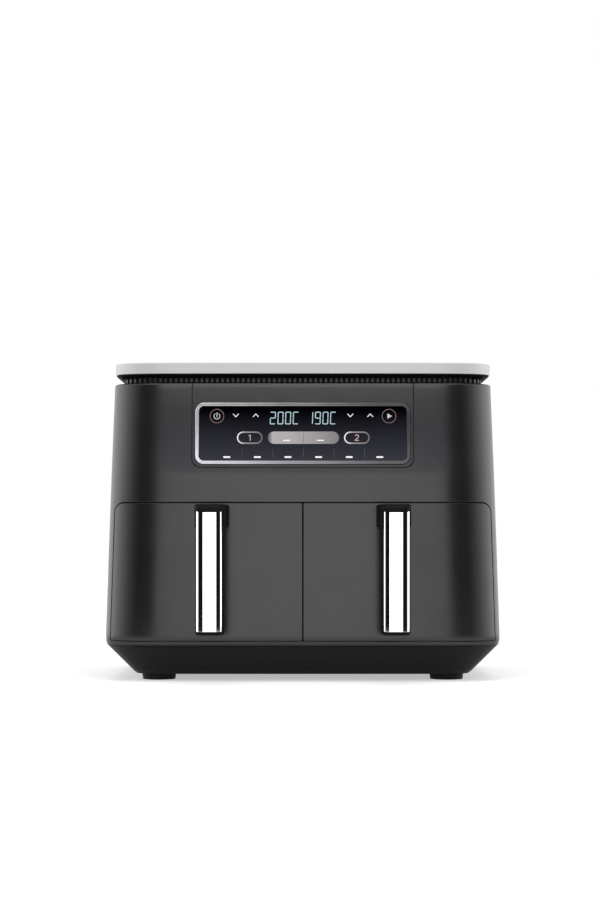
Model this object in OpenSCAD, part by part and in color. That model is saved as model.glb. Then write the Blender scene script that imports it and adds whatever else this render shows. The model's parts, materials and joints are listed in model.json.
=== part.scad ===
// Countertop air fryer with two drawers.
// X runs to the right, the front faces -Y, +Z is up.
// The origin is at the middle of the footprint, on the table.

/* [Housing] */
// Width of the housing at its widest point, just above the base
body_w = 390; // [340:1:440]
// How far each side of the housing leans in from its widest part to its top
side_taper = 8.2; // [4:0.1:10]
// Depth of the housing from its front face to its back face
body_d = 272; // [240:1:310]
// Height of the housing's top edge above the table
shoulder_z = 292.5; // [270:0.5:330]
// Width of a front corner's curve, seen from above
front_corner_w = 58; // [48:1:62]
// Depth of a front corner's curve, seen from above
front_corner_d = 34; // [31:1:40]
// How square the front corners are, where 2 is an ellipse
front_corner_power = 2.8; // [2.4:0.1:3.2]
// Radius of the back corners, seen from above
back_corner_r = 34; // [28:1:44]
// How far the middle of the front face bows forward
front_bow = 2.5; // [1.5:0.5:5]
// Lean of the front face below the crease, in degrees
front_lean = 1.5; // [1:0.1:2]
// Lean of the control panel above the crease, in degrees
panel_lean = 5; // [4:0.5:6]
// Thickness of the moulded walls
wall = 3; // [2.6:0.1:3.2]
// Rounding of the housing's top edge
shoulder_round = 3; // [2:0.5:3]

/* [Base] */
// Height of the feet
foot_h = 6; // [4:0.5:8]
// Radius of a foot
foot_r = 17; // [14:0.5:18]
// Distance of a foot's middle from the side of the housing
foot_in = 51.5; // [50:0.5:60]
// Height of the chamfered base
base_h = 29.8; // [27:0.1:31]
// How far the base tapers in from the housing, at its underside
base_inset = 29; // [24:0.5:30]

/* [Lid] */
// Height of the ribbed vent neck
neck_h = 6.1; // [5:0.1:8]
// How far the neck stands in from the housing's edge
neck_inset = 9.8; // [9:0.1:11]
// Spacing of the neck's ribs
rib_pitch = 5.1; // [4.5:0.1:8]
// Thickness of the dark tray under the lid
tray_t = 3.2; // [2.8:0.1:5]
// Thickness of the lid plate
lid_t = 10.7; // [9:0.1:13]
// How far the lid's edge stands in from the housing's edge
lid_inset = 0.8; // [0.4:0.1:2]

/* [Control panel] */
// Width of the facia let into the upper front
facia_w = 216.4; // [195:0.2:240]
// Width of the facia beside the bezel
facia_margin = 3; // [2.2:0.1:6]
// Height of the facia below the bezel
facia_below = 3.2; // [2.2:0.1:6]
// Height of the bezel
bezel_h = 60.5; // [52:0.5:68]
// Distance of the bezel from the housing's top edge
bezel_drop = 19.4; // [16:0.1:24]
// Distance of the crease in the front below the facia
crease_drop = 5.9; // [3:0.1:10]
// Width of the bezel's visible rim
bezel_rim = 3.4; // [2.5:0.1:4]

/* [Drawers] */
// Distance of the drawers' mouth below the facia
mouth_drop = 33.7; // [26:0.1:40]
// Height of a drawer front above its tub
door_head = 12.3; // [10:0.1:20]
// Space between a cooking chamber and the widest part of the housing's side
side_space = 21; // [18:0.5:30]
// Half of the space between the two cooking chambers
middle_space = 13; // [12:0.5:20]
// Space behind the cooking chambers, for the exhaust ducts
duct_space = 24.9; // [16:0.1:40]
// Thickness of a tub's wall
tub_t = 1.4; // [1:0.1:2]
// Height of the crisper plate above the tub's floor
plate_rise = 13; // [11:0.5:16]
// Spacing of the crisper plate's holes
hole_pitch = 20; // [18:0.5:26]

/* [Handles] */
// How far a handle's face stands in front of the housing
handle_reach = 50; // [44:1:54]
// Distance of a handle from the middle of its drawer, towards the middle of the housing
handle_shift = 4.3; // [0:0.1:8]
// Width of a handle
handle_w = 27.8; // [25:0.2:31]
// Thickness of a handle's grip, front to back
grip_t = 15.5; // [13:0.5:18]
// Length of the chrome cover
chrome_l = 114.8; // [104:0.1:118]
// How far the chrome cover stands in from the handle's sides
chrome_in = 1.1; // [0:0.1:1.5]

/* [Heating] */
// Radius of the convection fan
fan_r = 52; // [40:1:56]
// Number of blades on the convection fan
blade_count = 8; // [5:1:10]
// Radius of the fan shaft
shaft_r = 4; // [3:0.1:4.5]
// Radius of the outer turn of the heating coil
coil_r = 62; // [58:1:65]
// Radius of the heating coil's tube
coil_tube_r = 3.2; // [2.5:0.1:3.6]
// Radius of a motor
motor_r = 29; // [24:1:32]
// Height of a motor
motor_h = 38; // [32:1:40]

/* [Fits] */
// Clearance between pieces that seat on each other
fit = 0.3; // [0.2:0.05:0.4]
// Width of the gap round the drawer fronts
seam = 1.2; // [0.9:0.1:1.6]
// Width of the gap round the facia
facia_seam = 0.8; // [0.6:0.1:0.95]

/* [Hidden] */
$fn = 48;

// Colours
shell_grey = [0.29, 0.29, 0.29];
base_grey = [0.13, 0.13, 0.13];
lid_grey = [0.80, 0.80, 0.79];
dark = [0.06, 0.06, 0.06];
glass_black = [0.03, 0.03, 0.05];
silver = [0.75, 0.75, 0.76];
steel = [0.62, 0.62, 0.62];
coating = [0.16, 0.16, 0.17];
rubber = [0.10, 0.10, 0.10];
board_green = [0.08, 0.30, 0.18];
copper = [0.72, 0.42, 0.22];

// ---------- Along: from the handles to the back ----------
inlet_proud = 3;
total_d = handle_reach + body_d + inlet_proud;
front_face_y = -total_d / 2 + handle_reach;
back_face_y = total_d / 2 - inlet_proud;
sheet_t = 1;
door_depth = 23.5;
door_back_y = front_face_y + door_depth;
frame_gap = 0.6;
frame_t = 3;
frame_y = door_back_y + frame_gap;
frame_back_y = frame_y + frame_t;
back_room = 8;
chamber_front_y = frame_back_y + fit;
chamber_back_y = back_face_y - wall - fit - wall - duct_space - sheet_t;
chamber_mid_y = (chamber_front_y + chamber_back_y) / 2;
tub_front_y = door_back_y + fit;
tub_back_y = chamber_back_y - back_room;
tub_l = tub_back_y - tub_front_y;

// ---------- Across: from the side to the middle ----------
body_top_w = body_w - 2 * side_taper;
foot_x = body_w / 2 - foot_in;
chamber_x1 = body_w / 2 - side_space - sheet_t;
chamber_x0 = middle_space;
chamber_half = (chamber_x1 - chamber_x0) / 2;
drawer_x = (chamber_x0 + chamber_x1) / 2;
// Room between a tub's rim and the chamber's sides
side_room = 1.6;
tub_rim_w = 3.4;
tub_w = 2 * (chamber_half - side_room - tub_rim_w);
bezel_w = facia_w - 2 * facia_margin;

// ---------- Up: the front's lines follow the top edge down ----------
base_top_z = foot_h + base_h;
belly_rise = 8;
widest_z = base_top_z + belly_rise;
lip_round = 1.2;
lip_h = 3.1;
mouth_z = base_top_z + lip_h;
bezel_z1 = shoulder_z - bezel_drop;
bezel_z0 = bezel_z1 - bezel_h;
facia_z = bezel_z0 - facia_below;
crease_z = facia_z - crease_drop;
mouth_h = facia_z - mouth_drop - mouth_z;
sill_h = 3.4;
chamber_z = mouth_z + sill_h;
tub_lift = 3.5;
tub_z = chamber_z + tub_lift;
tub_h = mouth_z + mouth_h - door_head - tub_z;
tub_top_z = tub_z + tub_h;
// Height between the tub's rim and the chamber's roof, for the coil, its guard and the fan
heat_h = 46;
chamber_top_z = tub_top_z + heat_h;
door_z0 = mouth_z + seam;
door_z1 = mouth_z + mouth_h - seam;
deck_z = shoulder_z - wall;
tray_z = shoulder_z + neck_h;
lid_z = tray_z + tray_t;
lid_top_z = lid_z + lid_t;

// ---------- The outer surface that the housing, doors and facia share ----------
// Each step is a height and how far the surface is drawn in there.
edge_steps = [
  [foot_h, base_inset],
  [base_top_z, lip_round],
  [base_top_z + lip_h, 0.3 * lip_round],
  [widest_z, 0],
  [shoulder_z - shoulder_round, 0],
  [shoulder_z - 0.3 * shoulder_round, 0.3 * shoulder_round],
  [shoulder_z, shoulder_round]
];
side_slope = (body_w - body_top_w) / 2 / (shoulder_z - widest_z);
// Share of the base's chamfer that the corner radius loses
corner_loss = 0.45;
bow_steps = 6;
front_corner_steps = 11;
back_corner_steps = 7;

function edge_in(z) = lookup(z, edge_steps);
function rise(z) = max(0, z - widest_z);
function half_w(z) = body_w / 2 - side_slope * rise(z) - edge_in(z);
function lean_in(z) =
  tan(front_lean) * rise(min(z, crease_z)) + tan(panel_lean) * max(0, z - crease_z);
function front_y(z) = front_face_y + lean_in(z) + edge_in(z);
function back_y(z) = back_face_y - edge_in(z);

// How far the bowed front lies behind its middle, at a distance x to the side.
function bow(x) = front_bow * pow(2 * x / body_w, 2);

// Right half of the plan outline at height z, e inside the outer surface, from the front's
// middle to the back. The front corner is a quarter of a superellipse laid on the bow.
function half_outline(z, e) =
  let (
    loss = corner_loss * edge_in(z) + e,
    hw = half_w(z) - e,
    cw = front_corner_w - loss,
    cd = front_corner_d - loss,
    rb = back_corner_r - loss,
    y0 = front_y(z) + e,
    y1 = back_y(z) - e,
    power = 2 / front_corner_power
  )
  concat(
    [for (i = [1 : bow_steps]) let (x = (hw - cw) * i / bow_steps) [x, y0 + bow(x)]],
    [for (i = [1 : front_corner_steps])
      let (t = 90 * i / front_corner_steps, x = hw - cw + cw * pow(sin(t), power))
      [x, y0 + bow(x) + cd * (1 - pow(cos(t), power))]],
    [for (i = [0 : back_corner_steps])
      let (t = 90 * i / back_corner_steps) [hw - rb + rb * cos(t), y1 - rb + rb * sin(t)]]
  );

// Plan outline at height z, e inside the outer surface, counter-clockwise.
function outline(z, e = 0) =
  let (half = half_outline(z, e))
  concat([[0, front_y(z) + e]], half, [for (i = [len(half) - 1 : -1 : 0]) [-half[i].x, half[i].y]]);

// Heights of the rings between z0 and z1.
ring_zs = [
  foot_h, base_top_z, base_top_z + lip_h, widest_z, crease_z,
  shoulder_z - shoulder_round, shoulder_z - 0.3 * shoulder_round, shoulder_z
];
function rings_between(z0, z1) = concat([z0], [for (z = ring_zs) if (z > z0 && z < z1) z], [z1]);

// A closed solid through rings that all have the same number of points.
module skin(rings, zs) {
  n = len(rings[0]);
  top = n * (len(rings) - 1);
  polyhedron(
    points = [for (k = [0 : len(rings) - 1]) for (p = rings[k]) [p.x, p.y, zs[k]]],
    faces = concat(
      [[for (i = [0 : n - 1]) i]],
      [[for (i = [n - 1 : -1 : 0]) top + i]],
      [for (k = [0 : len(rings) - 2]) for (i = [0 : n - 1])
        let (a = k * n + i, b = k * n + (i + 1) % n) each [[a, a + n, b + n], [a, b + n, b]]]
    )
  );
}

// The body's outer form from z0 to z1, drawn in by e.
module body_form(z0, z1, e = 0) {
  zs = rings_between(z0, z1);
  skin([for (z = zs) outline(z, e)], zs);
}

// The plan outline at the shoulder, stacked by [height, inset] steps.
rim_z = shoulder_z - shoulder_round;
module rim_stack(steps) {
  skin([for (s = steps) outline(rim_z, s[1])], [for (s = steps) s[0]]);
}

// ---------- Flat outlines ----------
function unit(v) = v / norm(v);
function turn(a) = a > 180 ? a - 360 : a < -180 ? a + 360 : a;

// Arc that replaces the corner at p.
function rounded_corner(before, p, after, r, n) =
  let (
    u = unit(before - p),
    v = unit(after - p),
    half = acos(u * v) / 2,
    c = p + unit(u + v) * r / sin(half),
    from = p + u * r / tan(half) - c,
    to = p + v * r / tan(half) - c,
    a0 = atan2(from.y, from.x),
    da = turn(atan2(to.y, to.x) - a0)
  )
  [for (i = [0 : n]) c + r * [cos(a0 + da * i / n), sin(a0 + da * i / n)]];

function rounded(pts, radii, n = 5) =
  let (m = len(pts))
  [for (i = [0 : m - 1])
    each rounded_corner(pts[(i + m - 1) % m], pts[i], pts[(i + 1) % m], radii[i], n)];

function rounded_box(x0, x1, y0, y1, r, n = 5) =
  rounded([[x0, y0], [x1, y0], [x1, y1], [x0, y1]], [r, r, r, r], n);

// A flat outline drawn in X and Z, extruded along Y from y0 to y1.
module along_y(y0, y1) {
  translate([0, y1, 0]) rotate([90, 0, 0]) linear_extrude(y1 - y0) children();
}

// A flat outline drawn in Y and Z, extruded along X from x0 to x1.
module along_x(x0, x1) {
  translate([x0, 0, 0]) rotate([90, 0, 90]) linear_extrude(x1 - x0) children();
}

// A flat outline drawn in X and Y, extruded from z0 to z1.
module along_z(z0, z1) {
  translate([0, 0, z0]) linear_extrude(z1 - z0) children();
}

module block(x, y, z) {
  translate([x[0], y[0], z[0]]) cube([x[1] - x[0], y[1] - y[0], z[1] - z[0]]);
}

module rod(r, z0, z1) {
  translate([0, 0, z0]) cylinder(r = r, h = z1 - z0);
}

module left_of() {
  mirror([1, 0, 0]) children();
}

// Tools that cut through a face reach this far past it.
over = 1;

// ---------- Base and feet ----------
// Feet stand this far in from the base's front and back edges.
foot_margin = 4;
base_front_y = front_y(foot_h);
base_back_y = back_y(foot_h);
front_foot_y = base_front_y + front_bow + foot_r + foot_margin;
back_foot_y = base_back_y - foot_r - foot_margin;
foot_taper = 0.8;
screw_r = 1.9;
screw_slack = 0.1;
screw_head_r = 4;
screw_head_t = 2;
screw_head_z = 1.8;
screw_seat_z = screw_head_z + screw_head_t;
boss_r = 6;
boss_h = 8;
screw_end_room = 1;
foot_screw_top = foot_h + wall + boss_h - screw_end_room;
recess_gap = 1;

module foot_places() {
  for (x = [-foot_x, foot_x]) for (y = [front_foot_y, back_foot_y]) translate([x, y, 0]) children();
}

module foot() {
  color(rubber) difference() {
    cylinder(r1 = foot_r - foot_taper, r2 = foot_r, h = foot_h);
    rod(screw_head_r + recess_gap, -over, screw_seat_z);
    rod(screw_r + fit, -over, foot_h + over);
  }
}
module front_left_foot() translate([-foot_x, front_foot_y, 0]) foot();
module front_right_foot() translate([foot_x, front_foot_y, 0]) foot();
module back_left_foot() translate([-foot_x, back_foot_y, 0]) foot();
module back_right_foot() translate([foot_x, back_foot_y, 0]) foot();

module foot_screws() {
  color(steel) foot_places() {
    rod(screw_head_r, screw_head_z, screw_seat_z);
    rod(screw_r, screw_seat_z, foot_screw_top);
  }
}

// ---------- Cooking chambers and the frame at their mouth ----------
flange_w = 12;
flange_top_z = base_top_z + wall;
mouth_room = 3.5;
mouth_corner_r = 6;

module at_fan() {
  translate([drawer_x, chamber_mid_y, 0]) children();
}

// Distance between the coil's two turns, and its height above the tub
coil_gap = 16;
coil_lift = 16;
coil_z = tub_top_z + coil_lift;
// Angles at which the inner and the outer turn start; both end short of a full turn
coil_starts = [12, 36];
coil_end = 348;
// Sleeves join the two turns to each other and to the terminals.
sleeve_r = coil_tube_r + 0.6;
terminal_stub = 14;
terminal_top_z = chamber_top_z + terminal_stub;
terminal_hole_r = sleeve_r + fit;

module terminal_places() {
  for (a = coil_starts) rotate([0, 0, a]) translate([coil_r, 0, 0]) children();
}

vent_rows = 4;
vent_pitch = 5.5;
vent_slot_h = 3;
vent_half_w = 42;
vent_drop = 26;
vent_z = chamber_top_z - vent_drop;
// Clearance of the shaft's holes in sheet metal
shaft_room = 2;

// Horizontal slots through a wall between y0 and y1.
module slots(x, z, rows, half, y0, y1) {
  for (i = [0 : rows - 1])
    block([x - half, x + half], [y0, y1], [z + i * vent_pitch, z + i * vent_pitch + vent_slot_h]);
}

module right_chamber() {
  color(steel) difference() {
    block([chamber_x0 - sheet_t, chamber_x1 + sheet_t], [chamber_front_y, chamber_back_y + sheet_t],
      [chamber_z - sheet_t, chamber_top_z + sheet_t]);
    block([chamber_x0, chamber_x1], [chamber_front_y - over, chamber_back_y],
      [chamber_z, chamber_top_z]);
    at_fan() rod(shaft_r + shaft_room, chamber_top_z - over, chamber_top_z + 2 * over);
    at_fan() terminal_places()
      rod(terminal_hole_r, chamber_top_z - over, chamber_top_z + 2 * over);
    slots(drawer_x, vent_z, vent_rows, vent_half_w, chamber_back_y - over, chamber_back_y + 2 * over);
  }
}

// Slot in the frame for the tab that works the drawer switch
tab_w = 4;
tab_h = 8;
tab_room = 1;
tab_x = seam / 2 + wall + 2 * fit;
tab_drop = 28;
tab_z = door_z1 - tab_drop;
tab_len = 15;
tab_end_y = door_back_y + tab_len;
shelf_t = 2;
shelf_half = chamber_x0 - sheet_t - fit;
shelf_drop = 4;
shelf_z = tab_z - shelf_drop;
switch_x = 1.2;
switch_l = 20;
switch_h = 12;
switch_w = 7;
lever_t = 1.2;
lever_h = 7;
plunger_l = 1;
plunger_h = 2;
frame_top_z = chamber_top_z + sheet_t;

module front_frame() {
  color(coating) {
    difference() {
      intersection() {
        body_form(flange_top_z + fit, frame_top_z, wall + fit);
        block([-body_w, body_w], [frame_y, frame_back_y], [0, frame_top_z]);
      }
      for (s = [-1, 1]) scale([s, 1, 1]) {
        along_y(frame_y - over, frame_back_y + over)
          polygon(rounded_box(chamber_x0, chamber_x1, chamber_z, tub_top_z + mouth_room,
            mouth_corner_r));
        block([tab_x - tab_room, tab_x + tab_w + tab_room], [frame_y - over, frame_back_y + over],
          [tab_z - tab_room, tab_z + tab_h + tab_room]);
      }
    }
    block([-shelf_half, shelf_half], [frame_back_y, tab_end_y + lever_t + switch_l + 2 * fit],
      [shelf_z - shelf_t, shelf_z]);
  }
}

module right_drawer_switch() {
  lever_y = tab_end_y + fit;
  plunger_y = lever_y + lever_t;
  switch_y = plunger_y + plunger_l;
  color(dark) {
    block([tab_x, tab_x + tab_w], [lever_y, plunger_y], [tab_z, tab_z + lever_h]);
    block([tab_x, tab_x + tab_w], [plunger_y, switch_y], [tab_z, tab_z + plunger_h]);
    block([switch_x, switch_x + switch_w], [switch_y, plunger_y + switch_l],
      [shelf_z + fit, shelf_z + fit + switch_h]);
  }
}

rail_t = 4;
// Gap between a rail and the tub's side
rail_gap = 1.9;
rail_reach = side_room + tub_rim_w - rail_gap;
rim_t = 2;
rail_top_z = tub_top_z - rim_t - fit;
rail_margin = 4;

module right_rails() {
  color(silver) for (s = [-1, 1])
    translate([drawer_x, 0, 0]) scale([s, 1, 1])
      block([chamber_half - fit - rail_reach, chamber_half - fit],
        [chamber_front_y + rail_margin, chamber_back_y - rail_margin],
        [rail_top_z - rail_t, rail_top_z]);
}

// ---------- Base pan ----------
// The posts under a chamber stand this far in from its edges.
post_in = 24;
inner_post_in = 14;
post_x = [chamber_x0 + inner_post_in, chamber_x1 - post_in];
post_y = [chamber_front_y + post_in, chamber_back_y - post_in];
floor_vents = 6;
floor_vent_half = 21;
floor_vent_pitch = 11;

module base_pan() {
  color(base_grey) difference() {
    union() {
      difference() {
        body_form(foot_h, base_top_z - fit);
        body_form(foot_h + wall, base_top_z, wall);
      }
      foot_places() rod(boss_r, foot_h + wall - over, foot_h + wall + boss_h);
      for (s = [-1, 1]) for (x = post_x) for (y = post_y)
        translate([s * x, y, 0]) rod(boss_r, foot_h + wall - over, chamber_z - sheet_t - fit);
    }
    foot_places() rod(screw_r + screw_slack, foot_h - over, foot_screw_top + over / 2);
    for (s = [-1, 1])
      for (i = [0 : floor_vents - 1])
        block([s * drawer_x - floor_vent_half, s * drawer_x + floor_vent_half],
          [chamber_mid_y + i * floor_vent_pitch, chamber_mid_y + i * floor_vent_pitch + vent_slot_h],
          [foot_h - over, foot_h + wall + over]);
  }
}

// ---------- Housing ----------
door_edge_in = 6.3;
door_corner_r = 9;
door_small_r = 1.5;
function door_x1(z) = half_w(z) - door_edge_in;

// Outline of one door in X and Z, grown by g; x0 is its inner edge.
function door_outline(x0, g) = rounded(
  [[x0, door_z0 - g], [door_x1(door_z0) + g, door_z0 - g],
    [door_x1(door_z1) + g, door_z1 + g], [x0, door_z1 + g]],
  [door_small_r, door_small_r, door_corner_r + g, door_small_r]);

// Outline of the mouth that holds both doors.
mouth_outline = rounded(
  [[-door_x1(door_z0) - seam, mouth_z], [door_x1(door_z0) + seam, mouth_z],
    [door_x1(door_z1) + seam, mouth_z + mouth_h], [-door_x1(door_z1) - seam, mouth_z + mouth_h]],
  [door_small_r, door_small_r, door_corner_r + seam, door_corner_r + seam]);

facia_corner_r = 9;
// The facia's deck stops this far in front of the neck.
facia_stop = 2;
facia_back_y = front_y(shoulder_z) + neck_inset - facia_stop;
facia_outline = rounded(
  [[-facia_w / 2, facia_z], [facia_w / 2, facia_z],
    [facia_w / 2, lid_top_z], [-facia_w / 2, lid_top_z]],
  [facia_corner_r, facia_corner_r, over, over]);
facia_hole_outline = rounded(
  [[-facia_w / 2 - facia_seam, facia_z - facia_seam], [facia_w / 2 + facia_seam, facia_z - facia_seam],
    [facia_w / 2 + facia_seam, lid_top_z], [-facia_w / 2 - facia_seam, lid_top_z]],
  [facia_corner_r + facia_seam, facia_corner_r + facia_seam, over, over]);

// The window in the back, closed by the back panel
window_margin = 42;
window_lift = 22;
window_drop = 10;
window_half = body_top_w / 2 - window_margin;
window_z0 = base_top_z + window_lift;
window_z1 = deck_z - window_drop;
window_r = 10;
panel_lap = 6;
// The opening in the deck starts this far inside the neck's ribs.
deck_border = 5;
// Cuts through the front face end here.
cut_back_y = door_back_y + door_depth / 2;

module outer_housing() {
  color(shell_grey) difference() {
    body_form(base_top_z, shoulder_z);
    body_form(flange_top_z, deck_z, wall);
    body_form(base_top_z - over, flange_top_z + over, wall + flange_w);
    rim_stack([[deck_z - over, neck_inset + deck_border], [shoulder_z + over, neck_inset + deck_border]]);
    along_y(front_face_y - over, cut_back_y) polygon(mouth_outline);
    along_y(front_face_y - over, facia_back_y + facia_seam) polygon(facia_hole_outline);
    along_y(back_face_y - wall - over, back_face_y + over)
      polygon(rounded_box(-window_half, window_half, window_z0, window_z1, window_r));
  }
}

// ---------- Back panel, cord inlet, exhaust ducts and power board ----------
panel_inner_y = back_face_y - wall - fit;
inlet_side = 48.8;
inlet_x = window_half - inlet_side;
inlet_lift = 26;
inlet_z = window_z0 + inlet_lift;
inlet_r = 9;
inlet_bore_r = 4.2;
inlet_collar_r = 12;
cooling_rows = 5;
cooling_lift = 20;
cooling_z = chamber_top_z + cooling_lift;
board_t = 1.6;
board_half = 55;
board_lift = 10;
board_drop = 8;
board_z0 = chamber_top_z + board_lift;
board_z1 = window_z1 - board_drop;
// Distance of the power board's front from the back panel
board_room = 14;
board_y = panel_inner_y - wall - board_room;
standoff_r = 3;
standoff_in = 6;

module back_panel() {
  color(base_grey) difference() {
    union() {
      along_y(panel_inner_y - wall, panel_inner_y)
        polygon(rounded_box(-window_half - panel_lap, window_half + panel_lap,
          window_z0 - panel_lap, window_z1 + panel_lap, window_r));
      along_y(panel_inner_y - over, back_face_y)
        polygon(rounded_box(-window_half + fit, window_half - fit, window_z0 + fit, window_z1 - fit,
          window_r - fit));
      for (x = [-board_half + standoff_in, board_half - standoff_in])
        for (z = [board_z0 + standoff_in, board_z1 - standoff_in])
          translate([x, 0, z]) rotate([90, 0, 0])
            rod(standoff_r, -panel_inner_y + wall - over, -board_y - board_t - fit);
    }
    for (s = [-1, 1]) {
      slots(s * drawer_x, vent_z, vent_rows, vent_half_w, panel_inner_y - wall - over,
        back_face_y + over);
      slots(s * drawer_x, cooling_z, cooling_rows, vent_half_w, panel_inner_y - wall - over,
        back_face_y + over);
    }
    translate([inlet_x, 0, inlet_z]) rotate([90, 0, 0])
      rod(inlet_r + fit, -back_face_y - over, -panel_inner_y + wall + over);
  }
}

module cord_inlet() {
  color(rubber) translate([inlet_x, 0, inlet_z]) rotate([90, 0, 0]) difference() {
    union() {
      rod(inlet_collar_r, -back_face_y - inlet_proud, -back_face_y);
      rod(inlet_r, -back_face_y - over, -panel_inner_y + 2 * wall);
    }
    rod(inlet_bore_r, -back_face_y - inlet_proud - over, -panel_inner_y + 2 * wall + over);
  }
}

duct_t = 1.5;
// The duct stands this far outside the vents.
duct_lap = 3;
duct_half = vent_half_w + duct_lap;
duct_z0 = vent_z - duct_lap;
duct_z1 = vent_z + (vent_rows - 1) * vent_pitch + vent_slot_h + duct_lap;

module right_exhaust_duct() {
  color(silver) difference() {
    block([drawer_x - duct_half, drawer_x + duct_half],
      [chamber_back_y + sheet_t + fit, panel_inner_y - wall - fit], [duct_z0, duct_z1]);
    block([drawer_x - duct_half + duct_t, drawer_x + duct_half - duct_t],
      [chamber_back_y, panel_inner_y], [duct_z0 + duct_t, duct_z1 - duct_t]);
  }
}

// A row of relays and a row of capacitors on the power board
relays = 3;
relay_x = -38;
relay_pitch = 22;
relay_w = 16;
relay_l = 19;
relay_h = 15;
capacitors = 2;
capacitor_x = 32;
capacitor_pitch = 13;
capacitor_r = 5;
capacitor_h = 18;

module power_board() {
  mid_z = (board_z0 + board_z1) / 2;
  color(board_green)
    block([-board_half, board_half], [board_y, board_y + board_t], [board_z0, board_z1]);
  color(dark) for (i = [0 : relays - 1])
    block([relay_x + i * relay_pitch, relay_x + i * relay_pitch + relay_w],
      [board_y - relay_h, board_y], [mid_z - relay_l / 2, mid_z + relay_l / 2]);
  color(silver) for (i = [0 : capacitors - 1])
    translate([capacitor_x + i * capacitor_pitch, 0, mid_z]) rotate([90, 0, 0])
      rod(capacitor_r, -board_y, capacitor_h - board_y);
}

// ---------- Neck and lid ----------
neck_wall = 4;
rib_depth = 2;
rib_share = 0.4;

// Length along a closed outline up to each of its points.
function lengths(pts, i = 0, sum = 0, acc = []) =
  i > len(pts) ? acc
  : lengths(pts, i + 1, sum + norm(pts[(i + 1) % len(pts)] - pts[i % len(pts)]), concat(acc, [sum]));

neck_path = outline(rim_z, neck_inset + rib_depth);
neck_s = lengths(neck_path);
neck_total = neck_s[len(neck_path)];
neck_xs = [for (i = [0 : len(neck_path)]) [neck_s[i], neck_path[i % len(neck_path)].x]];
neck_ys = [for (i = [0 : len(neck_path)]) [neck_s[i], neck_path[i % len(neck_path)].y]];
rib_count = round(neck_total / rib_pitch);
rib_step = neck_total / rib_count;

function wrap(s) = s < 0 ? s + neck_total : s > neck_total ? s - neck_total : s;
function on_neck(s) = [lookup(wrap(s), neck_xs), lookup(wrap(s), neck_ys)];
// Point at length s, moved outwards by d.
function off_neck(s, d) =
  let (t = unit(on_neck(s + over) - on_neck(s - over))) on_neck(s) + d * [t.y, -t.x];

module vent_neck() {
  half = rib_share * rib_step / 2;
  teeth = [for (i = [0 : rib_count - 1]) let (s = (i + 0.5) * rib_step)
    each [off_neck(s - half, 0), off_neck(s - half, rib_depth),
      off_neck(s + half, rib_depth), off_neck(s + half, 0)]];
  color(dark) along_z(shoulder_z, tray_z) difference() {
    polygon(teeth);
    polygon(outline(rim_z, neck_inset + rib_depth + neck_wall));
  }
}

// The tray stands in from the lid, and tapers in further towards the neck.
tray_in = lid_inset + 1;
tray_taper = 6;
tray_edge = 1;
// Width of the tray's and the lid's solid borders
tray_border = 10;
lid_border = 12;
lid_round = 1;

module lid_tray() {
  color(dark) difference() {
    rim_stack([[tray_z, tray_in + tray_taper], [lid_z - tray_edge, tray_in], [lid_z, tray_in]]);
    rim_stack([[tray_z - over, neck_inset + tray_border], [lid_z + over, neck_inset + tray_border]]);
  }
}

module lid_plate() {
  color(lid_grey) difference() {
    rim_stack([
      [lid_z, lid_inset + 0.5 * lid_round],
      [lid_z + 0.5 * lid_round, lid_inset],
      [lid_top_z - lid_round, lid_inset],
      [lid_top_z - 0.3 * lid_round, lid_inset + 0.3 * lid_round],
      [lid_top_z, lid_inset + lid_round]
    ]);
    rim_stack([[lid_z - over, lid_inset + lid_border], [lid_top_z - wall, lid_inset + lid_border]]);
  }
}

// ---------- Control panel ----------
bezel_corner_r = 8.5;
bezel_proud = 0.6;
bezel_depth = 2.4;
glass_t = 2;
// The display board hangs behind the glass from two bosses above the bezel.
display_t = 1.6;
display_depth = 9;
display_y = front_y(bezel_z1) + display_depth;
display_screw_in = 10;
display_screw_x = bezel_w / 2 - display_screw_in;
display_screw_z = bezel_z1 + 4.5;
display_half = display_screw_x + standoff_in;
display_lift = 4;
display_z0 = bezel_z0 + display_lift;
display_z1 = display_screw_z + 3.5;

function bezel_outline(g) =
  rounded_box(-bezel_w / 2 - g, bezel_w / 2 + g, bezel_z0 - g, bezel_z1 + g, bezel_corner_r + g, 6);

// A sheet of the front face between insets e0 and e1, with a flat outline.
module face_sheet(e0, e1) {
  intersection() {
    difference() {
      body_form(bezel_z0 - 2 * over, bezel_z1 + 2 * over, e0);
      body_form(bezel_z0 - 3 * over, bezel_z1 + 3 * over, e1);
    }
    along_y(front_face_y - over, cut_back_y) children();
  }
}

module control_facia() {
  color(shell_grey) {
    difference() {
      intersection() {
        difference() {
          body_form(facia_z - over, shoulder_z);
          body_form(facia_z - 2 * over, deck_z, wall);
        }
        along_y(front_face_y - over, facia_back_y) polygon(facia_outline);
      }
      along_y(front_face_y - over, facia_back_y + over) polygon(bezel_outline(fit));
    }
    intersection() {
      for (x = [-display_screw_x, display_screw_x])
        translate([x, 0, display_screw_z]) rotate([90, 0, 0])
          rod(standoff_r, fit - display_y, -front_face_y);
      body_form(facia_z, deck_z, wall / 2);
    }
  }
}

module bezel() {
  color(silver) face_sheet(-bezel_proud, bezel_depth) difference() {
    polygon(bezel_outline(0));
    polygon(bezel_outline(-bezel_rim));
  }
}

module touch_glass() {
  color(glass_black) face_sheet(0, glass_t) polygon(bezel_outline(-bezel_rim - fit / 2));
}

module display_board() {
  color(board_green) block([-display_half, display_half], [display_y, display_y + display_t],
    [display_z0, display_z1]);
}

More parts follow.
